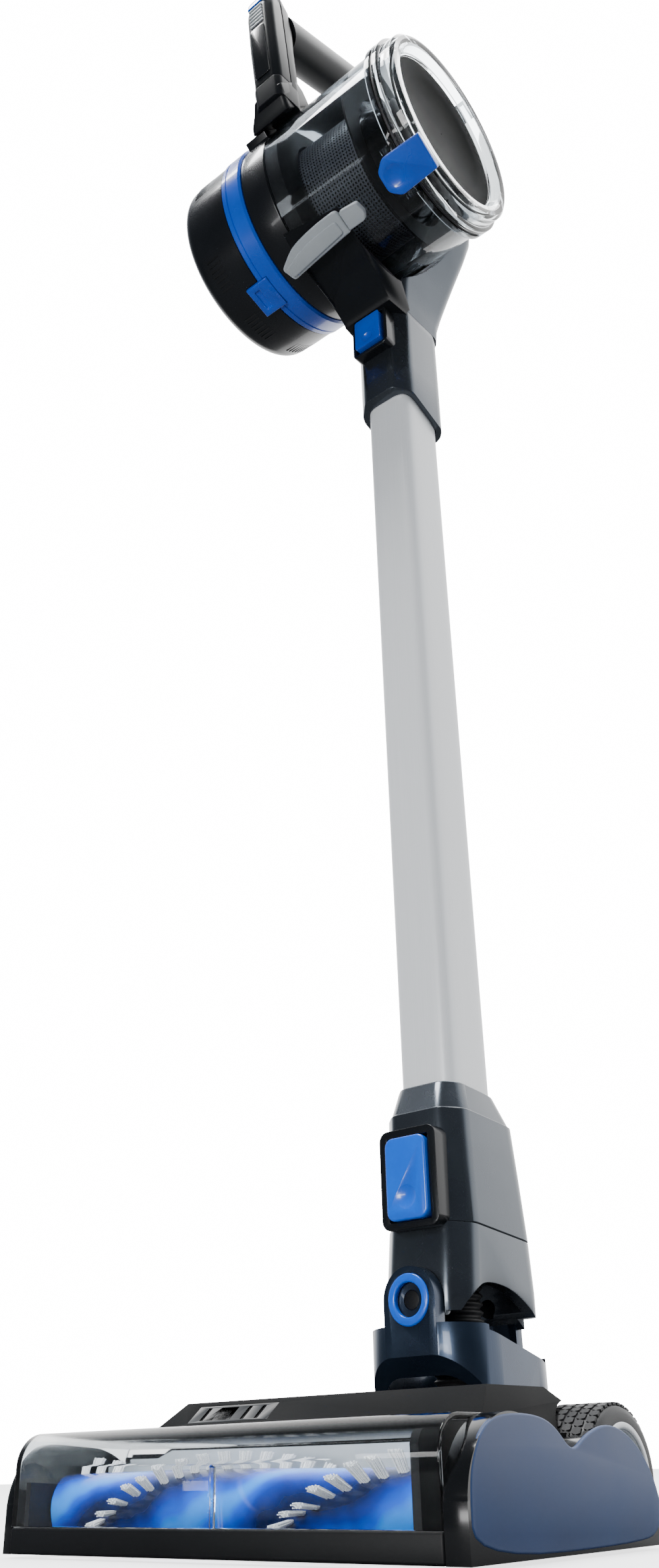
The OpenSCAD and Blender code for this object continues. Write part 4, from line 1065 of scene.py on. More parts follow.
@dataclass
class Neck:
    """The tilting yoke, the swivelling neck and the hose inside them.

    Args:
        rib_pitch: Distance between the hose's ribs.
        hose_r: Outer radius of the hose.
        chamfer: Chamfer of the housing's front corners.
    """

    rib_pitch: float = 4.2
    hose_r: float = 14.5
    chamfer: float = 11.0

    def hose(self) -> None:
        """Makes the bellows in two pieces, split at the top of its bend."""
        low, high = span("hose")
        mid_y = high.y - self.hose_r
        start_z = low.z + self.hose_r
        bend = mid_y - low.y
        path = []
        for i in range(46):
            a = math.pi / 2 * i / 45
            path.append((low.y + bend * math.sin(a), start_z + bend * (1 - math.cos(a)), a))
        straight = high.z - start_z - bend
        path += [(mid_y, start_z + bend + straight * i / 30, math.pi / 2) for i in range(1, 31)]
        run, lengths = 0.0, [0.0]
        for p, q in zip(path, path[1:]):
            run += math.hypot(q[0] - p[0], q[1] - p[1])
            lengths.append(run)
        steps = int(run / self.rib_pitch * 6)
        rings = []
        for k in range(steps + 1):
            s = run * k / steps
            i = max(j for j, at in enumerate(lengths[:-1]) if at <= s)
            f = (s - lengths[i]) / (lengths[i + 1] - lengths[i])
            y, z, a = (path[i][n] + f * (path[i + 1][n] - path[i][n]) for n in range(3))
            r = self.hose_r - 1.0 + 1.0 * math.cos(math.tau * s / self.rib_pitch)
            around = [math.tau * j / 40 for j in range(40)]
            rings.append([(r * math.cos(t), y - r * math.sin(t) * math.sin(a), z + r * math.sin(t) * math.cos(a))
                          for t in around])
        split = next(k for k, ring in enumerate(rings) if sum(p[2] for p in ring) / 40 > start_z + bend)
        lower = loft("hose_lower", rings[:split + 2])
        upper = loft("hose_upper", rings[split + 1:])
        for piece in (lower, upper):
            smooth(piece, 60)
            piece.data.materials.append(PAINT.get("moulded_rubber"))
            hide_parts("hose")
        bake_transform(lower)
        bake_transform(upper)
        report("neck", lower, upper)

    def yoke(self) -> None:
        """Makes the yoke, whose top is raked down to the rear."""
        yoke = copy_of("yoke", "yoke_moulding")
        low, _ = span("neck_lower")
        rake = [(low.y + 9.5, 150), (low.y + 9.5, low.z + 0.5), (low.y + 63, low.z - 13.5), (low.y + 63, 150)]
        cut(yoke, slab(CUTTER, rake, -60, 60, SIDE_ON))
        report("neck", PAINT.dress(bevel(yoke, 1.2), "lacquered_abs_steel_blue", "yoke", "yoke"))

    def housing(self) -> None:
        """Makes the two mouldings of the neck with chamfered corners."""
        low, seam = span("neck_lower")
        c_low, c_high = span("neck_collar")
        front, back = low.y, seam.y
        slot_mid = (span("wand_tube")[0].y + span("wand_tube")[1].y) / 2
        swivel = low.z + 16.5
        lower = self.shell("neck_lower_housing", [
            (low.z, 0, 0, 4, 0, 0), (swivel + 6, 0, 0, 4.5, 0, 0), (seam.z - 0.5, 0.3, 3.6, 3.2, 0, -7),
            (seam.z - 0.1, 0.8, 4.1, 2.7, 0, -7)])
        arch = soft_outline([(front - 9, 60, 1), (back + 20, 60, 1), (back + 9, swivel - 14, 9),
                             (back - 20, swivel + 6, 30), (slot_mid - 12, swivel + 9.5, 20),
                             (front + 11, swivel + 4, 12), (front + 4, swivel - 8, 3),
                             (front - 9, swivel - 8, 1)], 8)
        cut(lower, slab(CUTTER, arch, -60, 60, SIDE_ON))
        cut(lower, block(CUTTER, (-60, front + 6.5, 60), (60, back - 6.5, swivel - 4.5)))
        cut(lower, block(CUTTER, (-22, front + 6.5, 60), (22, back - 6.5, swivel + 16)))
        cut(lower, block(CUTTER, (16.5, front - 5, 60), (60, back + 5, swivel - 6)))
        cut(lower, block(CUTTER, (-60, front - 5, 60), (-16.5, back + 5, swivel - 6)))
        cut(lower, rod(CUTTER, (0, slot_mid, swivel + 5), (0, slot_mid, 200), 15.5))
        self.recess(lower)
        report("neck", PAINT.dress(bevel(lower, 0.7), "lacquered_abs_gunmetal", "neck", "neck_lower"))
        top = c_high.z
        collar = self.shell("neck_collar_housing", [
            (seam.z + 0.1, 0.8, 4.1, 2.7, 0, -7), (seam.z + 0.5, 0.3, 4.6, 3.2, 0, -7),
            (seam.z + 30, 1.2, 4.8, 0.5, 0, -4), (top - 16.4, 2.0, 5.2, -2.5, 0, -5),
            (top - 15.6, 2.9, 6.0, -3.4, 0, -5), (top - 0.8, 6.6, 11.4, -12.0, 2, -4),
            (top, 7.4, 12.2, -13.0, 3, -4)])
        bezel = slab("neck_button_bezel", rounded(38, 53, 5.5), 0.0, 14.0,
                     Matrix.Translation((0, c_low.y, c_low.z + 23.5)) @ FRONT_ON)
        for piece in (collar, bezel):
            cut(piece, wand_mouth(seam.z - 30, top + 9))
            self.recess(piece)
        report("neck", PAINT.dress(bevel(collar, 0.7), "lacquered_abs_gunmetal", "neck", "neck_collar"),
               PAINT.dress(bevel(bezel, 1.3), "lacquered_abs_slate", "neck"))

    def shell(self, name: str, table: Sequence[tuple[float, ...]]) -> Piece:
        """Lofts a housing of the neck from the sizes of its rings.

        Args:
            name: The piece's name.
            table: Height, inset at the sides and the front, growth at the back, cut of the chamfer and rise.

        Returns:
            The lofted housing.
        """
        low, high = span("neck_lower")
        half = (high.x - low.x) / 2
        return loft(name, [housing_ring(z, half - side, low.y + front, high.y + back, self.chamfer - less, 6,
                                        lift=rise) for z, side, front, back, less, rise in table])

    def recess(self, piece: Piece) -> None:
        """Cuts the button's recess out of a housing."""
        low, high = span("neck_button")
        slim = (high.x - low.x) * 0.05
        cut(piece, block(CUTTER, (low.x + slim - PLAY, low.y - 9, low.z + 0.45),
                         (high.x - slim + PLAY, low.y + 13, high.z - 0.45)))

    def build(self) -> None:
        """Builds the neck."""
        rounded_copies("neck", [
            ("swivel_ring", "polished_abs_button_blue", 0.9),
            ("swivel_pins", "moulded_abs_charcoal", 0.6),
            ("neck_spring", "ground_steel", 0.0),
        ])
        self.yoke()
        button = thumb_button("neck_button", "neck_release_button", 5.0, 6.5)
        report("neck", PAINT.dress(button, "polished_abs_button_blue", "neck_release", "neck_button"))
        self.hose()
        self.housing()


@dataclass
class Wand:
    """The lacquered tube between the neck and the hand unit.

    Args:
        wall: Wall of the tube.
        power: Squareness of its section, low enough to crown its faces.
    """

    wall: float = 1.6
    power: float = 4.2

    def build(self) -> None:
        """Builds the tube and its end fittings."""
        low, high = span("wand_tube")
        rings = []
        for inset, ends in ((0.0, (low.z, high.z)), (self.wall, (high.z, low.z))):
            for z in ends:
                rings.append(plan_ring(z, high.x - inset, low.y + inset, high.y + WAND_DEEPER - inset,
                                       self.power, 96))
        rings.append(rings[0])
        tube = loft("wand_tube_lacquered", rings, closed=False)
        smooth(tube, 50)
        report("wand", PAINT.dress(tube, "lacquered_aluminium", "wand", "wand_tube"))
        rounded_copies("wand", [("wand_contacts", "moulded_abs_charcoal", 0.4)])


# ---------------------------------------------------------------- hand unit

@dataclass
class HandUnit:
    """The socket, frame, motor and dust cup.

    Args:
        hole_pitch: Distance between the shroud's holes, as coarse as shows.
        latch_a: Direction of the door latch round the cup, in degrees.
        hinge_a: Direction of the door hinge.
        cap_latch_a: Direction of the rear cap's latch.
        lever_a: Direction of the cup's lever.
        deeper: How much further back the socket and the cowl stand than their nodes.
        cap_notch: Lowest and highest X of the notch for the rear cap's latch.
        centre: Y and Z of the cup's axis.
        radius: Radius of the cup.
    """

    hole_pitch: float = 2.9
    latch_a: float = -119.0
    hinge_a: float = 61.0
    cap_latch_a: float = -106.0
    lever_a: float = -114.0
    deeper: float = 5.0
    cap_notch: tuple[float, float] = (-70.3, -48.7)
    centre: tuple[float, float] = (0.0, 0.0)
    radius: float = 75.0

    def __post_init__(self) -> None:
        """Finds the cup's axis from its node."""
        low, high = span("filter_ring")
        self.centre = ((low.y + high.y) / 2, (low.z + high.z) / 2)
        self.radius = (high.z - low.z) / 2 - 2.0

    def around(self, angle: float) -> Matrix:
        """Returns the matrix whose Y points out from the cup's axis at an angle and whose X is the axis."""
        return Matrix.Translation((0, *self.centre)) @ Matrix.Rotation(math.radians(angle), 4, "X")

    def socket(self) -> None:
        """Makes the wand socket with chamfered corners and a raked lower edge."""
        low, high = span("socket_housing")
        w_low, w_high = span("wand_tube")
        b_low, b_high = span("wand_button")
        wand_y = (w_low.y + w_high.y) / 2
        front, back = 2 * wand_y - high.y, high.y + self.deeper
        steps = ((low.z, 0, 0), (low.z + 40, 0.3, 0.3), (high.z - 6, 0.4, 0), (high.z, 0.5, 0))
        shell = loft("socket_shell", [housing_ring(z, high.x + wider, front - fuller, back)
                                      for z, wider, fuller in steps])
        mid = (b_low.z + b_high.z) / 2
        bezel = slab("wand_button_bezel", rounded(33, 39, 5), 0.0, 12.0,
                     Matrix.Translation((0, b_low.y + 3, mid)) @ FRONT_ON)
        for piece in (shell, bezel):
            cut(piece, wand_mouth(low.z - 9, w_high.z + 0.4))
            cut(piece, rod(CUTTER, (0, wand_y, w_high.z - 5), (0, wand_y, high.z + 9), 14))
            cut(piece, block(CUTTER, (b_low.x - PLAY, b_low.y - 9, b_low.z - PLAY),
                             (b_high.x + PLAY, b_low.y + 13, b_high.z + PLAY)))
        rake = [(front - 3, low.z - 2), (front - 3, low.z + 16), (front + 10, low.z + 12),
                (back - 9, low.z - 2)]
        cut(shell, slab(CUTTER, rake, -60, 60, SIDE_ON))
        report("hand unit",
               PAINT.dress(bevel(shell, 0.7), "lacquered_abs_gunmetal", "hand_unit", "socket_housing"),
               PAINT.dress(bevel(bezel, 1.2), "lacquered_abs_slate", "hand_unit"))

    def frame(self) -> None:
        """Makes the cowl that flares from the socket to the cup, and the dark pillar in front of it."""
        high = span("main_frame")[1]
        s_high = span("socket_housing")[1]
        back = s_high.y + self.deeper
        # Rise above the socket, left and right edge, front and corner trim of each ring.
        plan = [(0, -24, 24.5, 45.5, 11), (12, -24.5, 26, 43, 11), (24, -25, 31, 38, 11), (38, -26, 38.5, 31, 10),
                (54, -28, 47.5, 24, 9), (70, -32, 57, 18, 8), (84, -35, 64, 14, 7), (98, -36, 66, 40, 7),
                (112, -36, 61, 60, 7), (132, -28, 38, 75, 6), (152, -19, 21, 80, 5)]
        rings = []
        for up, x0, x1, front, trim in plan:
            ring = [(x0 + trim, front, 4), (x1 - trim, front, 4), (x1, front + trim, 4), (x1, back - 7, 5),
                    (x1 - 7, back, 5), (x0 + 7, back, 5), (x0, back - 7, 5), (x0, front + trim, 4)]
            rings.append([(x, y, s_high.z + up) for x, y in soft_outline(ring)])
        y = high.y
        top = soft_outline([(-11.5, y - 16, 4), (11.5, y - 16, 4), (15.5, y - 12, 4), (15.5, y - 6, 4),
                            (10, y, 5), (-10, y, 5), (-15.5, y - 6, 4), (-15.5, y - 12, 4)])
        cowl = loft("frame_cowl", rings + [[(x, y, high.z) for x, y in top]])
        self.bore(cowl, 2.6, 2.5)
        pillar = self.pillar(s_high.z)
        report("hand unit",
               PAINT.dress(bevel(cowl, 0.8), "lacquered_abs_gunmetal", "hand_unit", "main_frame"),
               PAINT.dress(bevel(pillar, 0.7), "soft_touch_abs", "hand_unit", "main_frame"))

    def bore(self, piece: Piece, cup: float, motor: float) -> None:
        """Bores a piece out round the cup and round the motor, with a clearance for each."""
        cut(piece, rod(CUTTER, (-14.1, *self.centre), (150, *self.centre), self.radius + cup, 160))
        cut(piece, rod(CUTTER, (-150, *self.centre), (-13.9, *self.centre), self.radius + motor, 160))

    def pillar(self, base: float) -> Piece:
        """Sweeps the dark pillar from the socket's top out under the cup."""
        r, (cy, cz) = self.radius + 8.2, self.centre
        feet = [(-22, 36), (22, 36), (24, 62), (-24, 62)]
        tops = [(-15, -128), (34, -123), (31, -64), (-19, -62)]
        rings = []
        for k in range(11):
            t = k / 10
            ring = []
            for i in range(4):
                for n in range(14):
                    f = n / 14
                    x0, y0 = (feet[i][m] + (feet[(i + 1) % 4][m] - feet[i][m]) * f for m in (0, 1))
                    x1, a1 = (tops[i][m] + (tops[(i + 1) % 4][m] - tops[i][m]) * f for m in (0, 1))
                    y1, z1 = cy + r * math.cos(math.radians(a1)), cz + r * math.sin(math.radians(a1))
                    z0, zc = base - 3, min(base + 5, z1 - 1)
                    ring.append(((1 - t * t) * x0 + t * t * x1, (1 - t * t) * y0 + t * t * y1,
                                 (1 - t) ** 2 * z0 + 2 * t * (1 - t) * zc + t * t * z1))
            rings.append(ring)
        piece = loft("frame_pillar", rings)
        self.bore(piece, 4.6, 3.0)
        return piece

    def shroud(self) -> None:
        """Makes the perforated screen over its dark drum, with its flange."""
        low, high = span("shroud")
        flange_r = (high.z - low.z) / 2
        r = flange_r - 6.0
        a, b = low.x + 0.6, high.x - 3.0
        round_count = int(math.tau * r / self.hole_pitch)
        rows = int((b - a) / self.hole_pitch * 1.15)
        points, faces = [], []
        for j in range(rows + 1):
            for i in range(round_count):
                t = math.tau * (i + 0.5 * (j % 2)) / round_count
                points.append((a + (b - a) * j / rows, self.centre[0] + r * math.cos(t),
                               self.centre[1] + r * math.sin(t)))
        for j in range(rows):
            for i in range(round_count):
                k = (i + 1) % round_count
                here, above = j * round_count, (j + 1) * round_count
                faces.append((here + i, here + k, above + k, above + i))
        screen = mesh_object("shroud_screen", points, faces)
        outward(screen)
        run_tree(screen, PERFORATE, Open_share=0.6, Finish=PAINT.get("satin_abs_graphite"))
        thick = screen.modifiers.new("wall", "SOLIDIFY")
        thick.thickness = 0.5 * MM
        thick.offset = -1.0
        settle(screen)
        report("hand unit", PAINT.dress(screen, "satin_abs_graphite", "hand_unit", "shroud"))
        self.rings((
            ("shroud_drum", [(a - 0.4, r - 4), (a - 0.4, r - 1.6), (b, r - 1.6), (b, r - 4)],
             SOFT_ANGLE, "polished_abs_black", ()),
            ("shroud_flange", [(b, 21), (b, r - 1), (b + 0.4, flange_r - 0.8), (b + 1, flange_r),
                               (high.x - 0.6, flange_r), (high.x, flange_r - 0.8), (high.x, 21)],
             50.0, "lacquered_abs_slate", ()),
        ))

    def cyclone(self) -> None:
        """Makes the cone past the shroud with its dome, its baffle and the inlet's ring."""
        low, high = span("shroud")
        outer = (high.z - low.z) / 2 - 4.0
        wall = self.radius - 2.8
        cone_low, cone_high = span("cyclone_cone")
        big, end = (cone_high.z - cone_low.z) / 2, cone_high.x
        self.rings((
            ("cyclone_cone_skin", [(cone_low.x, big - 3), (cone_low.x, big), (cone_low.x + 3, big - 0.4),
                                   (end - 1.5, big - 9.6), (end, big - 11), (end, 4), (end - 2, 4),
                                   (end - 2, big - 13)],
             50.0, "polished_abs_black", ("cyclone_cone",)),
            ("cyclone_dome", [(end - 0.5, 2), (end + 3, 2), (end + 3, 24), (end + 1.5, 40), (end - 1, 43),
                              (end - 3, 43), (end - 1.5, 38)],
             50.0, "moulded_abs_charcoal", ()),
            ("cyclone_baffle", [(high.x + 4, outer), (high.x + 4, wall - 0.6), (high.x + 5.6, wall - 0.6),
                                (high.x + 5.6, outer)],
             0.0, "moulded_abs_charcoal", ()),
            ("cup_inlet_ring", [(low.x + 0.8, outer), (low.x + 0.8, wall), (low.x + 13, wall),
                                (low.x + 20, self.radius - 13), (low.x + 20, outer)],
             40.0, "moulded_abs_charcoal", ()),
        ))

    def rings(self, table: Iterable[tuple[str, Sequence[Point], float, str, Sequence[str]]]) -> None:
        """Turns pieces of the hand unit about the cup's axis.

        Args:
            table: Name, outline, angle up to which edges are smooth, finish and the nodes it stands for.
        """
        for name, profile, angle, finish, nodes in table:
            piece = turned(name, profile, self.centre)
            if angle:
                smooth(piece, angle)
            report("hand unit", PAINT.dress(piece, finish, "hand_unit", *nodes))

    def cap(self) -> None:
        """Makes the rear cap with its vents and its grille."""
        low, high = span("rear_cap")
        r = (high.z - low.z) / 2
        edge = 11.0
        profile = [(high.x, r - 5.5), (high.x, r - 0.6), (high.x - 0.6, r), (low.x + edge + 14, r)]
        profile += [(low.x + edge - edge * math.sin(t), r - edge + edge * math.cos(t) - 0.6)
                    for t in (math.pi / 2 * i / 10 for i in range(11))]
        profile += [(low.x, 16), (low.x + 1.2, 14), (low.x + 3, 14), (low.x + 3, r - 13),
                    (low.x + 9, r - 5.5)]
        cap = turned("rear_cap_shell", profile, self.centre, 128)
        cut(cap, self.notch())
        axis = (0, *self.centre)
        turns = [(math.radians(group + 3.1 * (i - 3)), 0, 0) for group in (-132, -92, -52, 40, 80, 120, 160)
                 for i in range(7)]
        slot = block("slot", (low.x + 15, r - 0.55, -0.75), (low.x + 27, r + 0.12, 0.75))
        report("hand unit", PAINT.dress(bevel(cap, 0.4, 2, 50), "lacquered_abs_slate", "cap", "rear_cap"),
               repeated("rear_cap_vents", slot, [axis] * len(turns), turns, "polished_abs_black", "cap"))
        for ring in range(5):
            count, reach = 10 + 6 * ring, 20 + 9 * ring
            turns = [(math.tau * (i + 0.5 * (ring % 2)) / count, 0, 0) for i in range(count)]
            hole = block("hole", (low.x - 0.15, reach, -1.5), (low.x + 0.6, reach + 5.5, 1.5))
            report("hand unit", repeated(f"rear_cap_grille_{ring}", hole, [axis] * count, turns,
                                         "polished_abs_black", "cap"))

    def notch(self) -> Piece:
        """The cutter for the rear cap's latch."""
        a, b = self.cap_notch
        return slab(CUTTER, [(a, -13.3), (b, -13.3), (b, 13.3), (a, 13.3)], self.radius - 6, self.radius + 9,
                    self.around(self.cap_latch_a) @ FRONT_ON)

    def band(self) -> None:
        """Makes the filter's blue ring with its seam."""
        f_low, f_high = span("filter_ring")
        fr = (f_high.z - f_low.z) / 2
        mid = (f_low.x + f_high.x) / 2 - 4.5
        profile = [(f_low.x, fr - 6), (f_low.x, fr - 0.9), (f_low.x + 0.9, fr), (mid - 0.7, fr),
                   (mid - 0.3, fr - 0.8), (mid + 0.3, fr - 0.8), (mid + 0.7, fr), (f_high.x - 1.6, fr),
                   (f_high.x, fr - 1.6), (f_high.x, fr - 6)]
        ring = turned("filter_ring_band", profile, self.centre, 128)
        cut(ring, self.notch())
        smooth(ring, 40)
        report("hand unit", PAINT.dress(ring, "polished_abs_blue", "filter", "filter_ring"))

    def door(self) -> None:
        """Makes the door's stepped clear shell, the dark liner behind it and its hinge tab."""
        x0, x1 = span("door_seal")[1].x, self.nose()
        rim = self.radius + 3.0
        profile = [(x0, rim - 9), (x0, rim - 0.8), (x0 + 0.8, rim), (x0 + 4.4, rim), (x0 + 5.2, rim - 0.8),
                   (x0 + 5.4, rim - 2.4), (x0 + 6.2, rim - 3), (x1 - 2.4, rim - 3.4), (x1, rim - 6),
                   (x1, rim - 13), (x1 - 1.2, rim - 14.4), (x1 - 5.2, rim - 16), (x1 - 6.4, rim - 17.6),
                   (x1 - 8.2, rim - 17.6), (x1 - 2.6, rim - 10.5), (x0 + 4.6, rim - 9.4)]
        rings = turned("door_shell", profile, self.centre, 128)
        smooth(rings, 42)
        profile = [(x1 - 11.2, 0.6), (x1 - 10.0, rim - 15.4), (x1 - 8.6, rim - 15.4), (x1 - 8.6, rim - 31),
                   (x1 - 9.4, rim - 32.5), (x1 - 9.8, 0.6)]
        liner = turned("door_liner", profile, self.centre)
        smooth(liner, 40)
        report("hand unit", PAINT.dress(liner, "textured_abs_black", "door"))
        near, far = rim + 0.4, rim + 7.6
        outline = soft_outline([(x0 - 6, near, 0.6), (x1 - 4, near - 3, 0.6), (x1 - 4, far - 1.5, 2.5),
                                (x0 - 2, far, 3.0), (x0 - 6, far - 1, 3.0)], 4)
        tab = slab("door_hinge_tab", outline, -8, 8, self.around(self.hinge_a))
        report("hand unit", PAINT.dress(rings, "clear_polycarbonate", "door", "cup_door"),
               PAINT.dress(bevel(tab, 0.5), "clear_polycarbonate", "door"))

    def nose(self) -> float:
        """Returns the X of the door's outer face, which stands out past its node."""
        return span("cup_door")[1].x + 8.0

    def latch(self) -> None:
        """Makes the door's latch with its thumb hollow."""
        stem = self.around(self.latch_a)
        inner = self.radius + 3.4
        face = self.radius + 9.0
        x_nose, x_tail = self.nose() + 2.0, 72.8
        outline = soft_outline([(x_tail, -7.5, 3.0), (x_tail + 8, -14.5, 3.0), (x_nose, -14, 1.6),
                                (x_nose, 13, 1.6), (x_tail + 8, 14.5, 3.0), (x_tail, 7.5, 3.0)], 4)
        latch = slab("door_latch_button", outline, inner, face, stem @ FRONT_ON)
        cut(latch, ball(stem @ Vector((x_tail + 10.5, self.radius + 25.6, 0)), 18.6, 48))
        report("hand unit", PAINT.dress(bevel(latch, 0.9), "polished_abs_blue", "latch", "door_latch"))

    def lever(self) -> None:
        """Makes the cup's lever with its pad, its tip and its pin."""
        arm = self.around(self.lever_a) @ FRONT_ON
        base = self.radius + 7.2
        # Name, outline, steps per corner, foot, head and rounding of each leaf, with the node it stands for.
        leaves = (
            ("cup_lever_arm", [(-30, 0, 2.5), (-14, -9.5, 8), (8, -12.6, 12), (31, -13, 4), (33, -8, 1.5),
                               (33, 6.2, 1.5), (24, 6.8, 4), (-18, 10.6, 5), (-26, 11.4, 2.5)],
             5, 0.0, 5.2, 1.6, ("cup_lever",)),
            ("cup_lever_pad", [(-27, 1.4, 2), (-12, -3.6, 8), (6, -6.4, 10), (28, -7, 3), (28.5, 3.6, 2),
                               (20, 4.6, 3), (-18, 8.6, 4), (-24.5, 9.2, 2)],
             5, 4.2, 6.6, 0.8, ()),
            ("cup_lever_tip", [(34, -10.5, 2), (49, -9, 2), (51, 0, 2), (48, 5, 2), (34, 5, 1.5)],
             4, 0.0, 6.4, 1.2, ()),
        )
        for name, corners, steps, foot, head, edge, nodes in leaves:
            leaf = bevel(slab(name, soft_outline(corners, steps), base + foot, base + head, arm), edge)
            report("hand unit", PAINT.dress(leaf, "satin_abs_light_grey", "lever", *nodes))
        p_low, p_high = span("lever_pin")
        start, end = (arm @ Vector(((p_low.x + p_high.x) / 2, y, self.radius + 9.6)) for y in (-9.0, 4.5))
        pin = rod("lever_pin_steel", start, end, 1.3, 32)
        report("hand unit", PAINT.dress(pin, "ground_steel", "hand_unit", "lever_pin"))

    def build(self) -> None:
        """Builds the hand unit."""
        rounded_copies("hand unit", [
            ("wand_spring", "ground_steel", 0.0),
            ("motor_housing", "lacquered_abs_slate", 1.0),
            ("suction_motor", "plated_can", 0.0), ("impeller", "ground_steel", 0.0),
            # The cup shell's grey tint is painted shade for the inside of the cup.
            ("cup_shell", "smoked_polycarbonate", 0.4), ("door_seal", "moulded_rubber", 0.4),
            ("door_pin", "ground_steel", 0.0), ("filter", "pleated_felt", 0.0),
            ("cap_latch", "polished_abs_blue", 0.8), ("control_board", "board_laminate", 0.0),
        ])
        button = thumb_button("wand_button", "wand_release_button", 2.2, 4.5, 0.94)
        report("hand unit", PAINT.dress(button, "polished_abs_blue", "wand_release", "wand_button"))
        self.socket()
        self.frame()
        self.shroud()
        self.cyclone()
        self.cap()
        self.band()
        self.door()
        self.latch()
        self.lever()


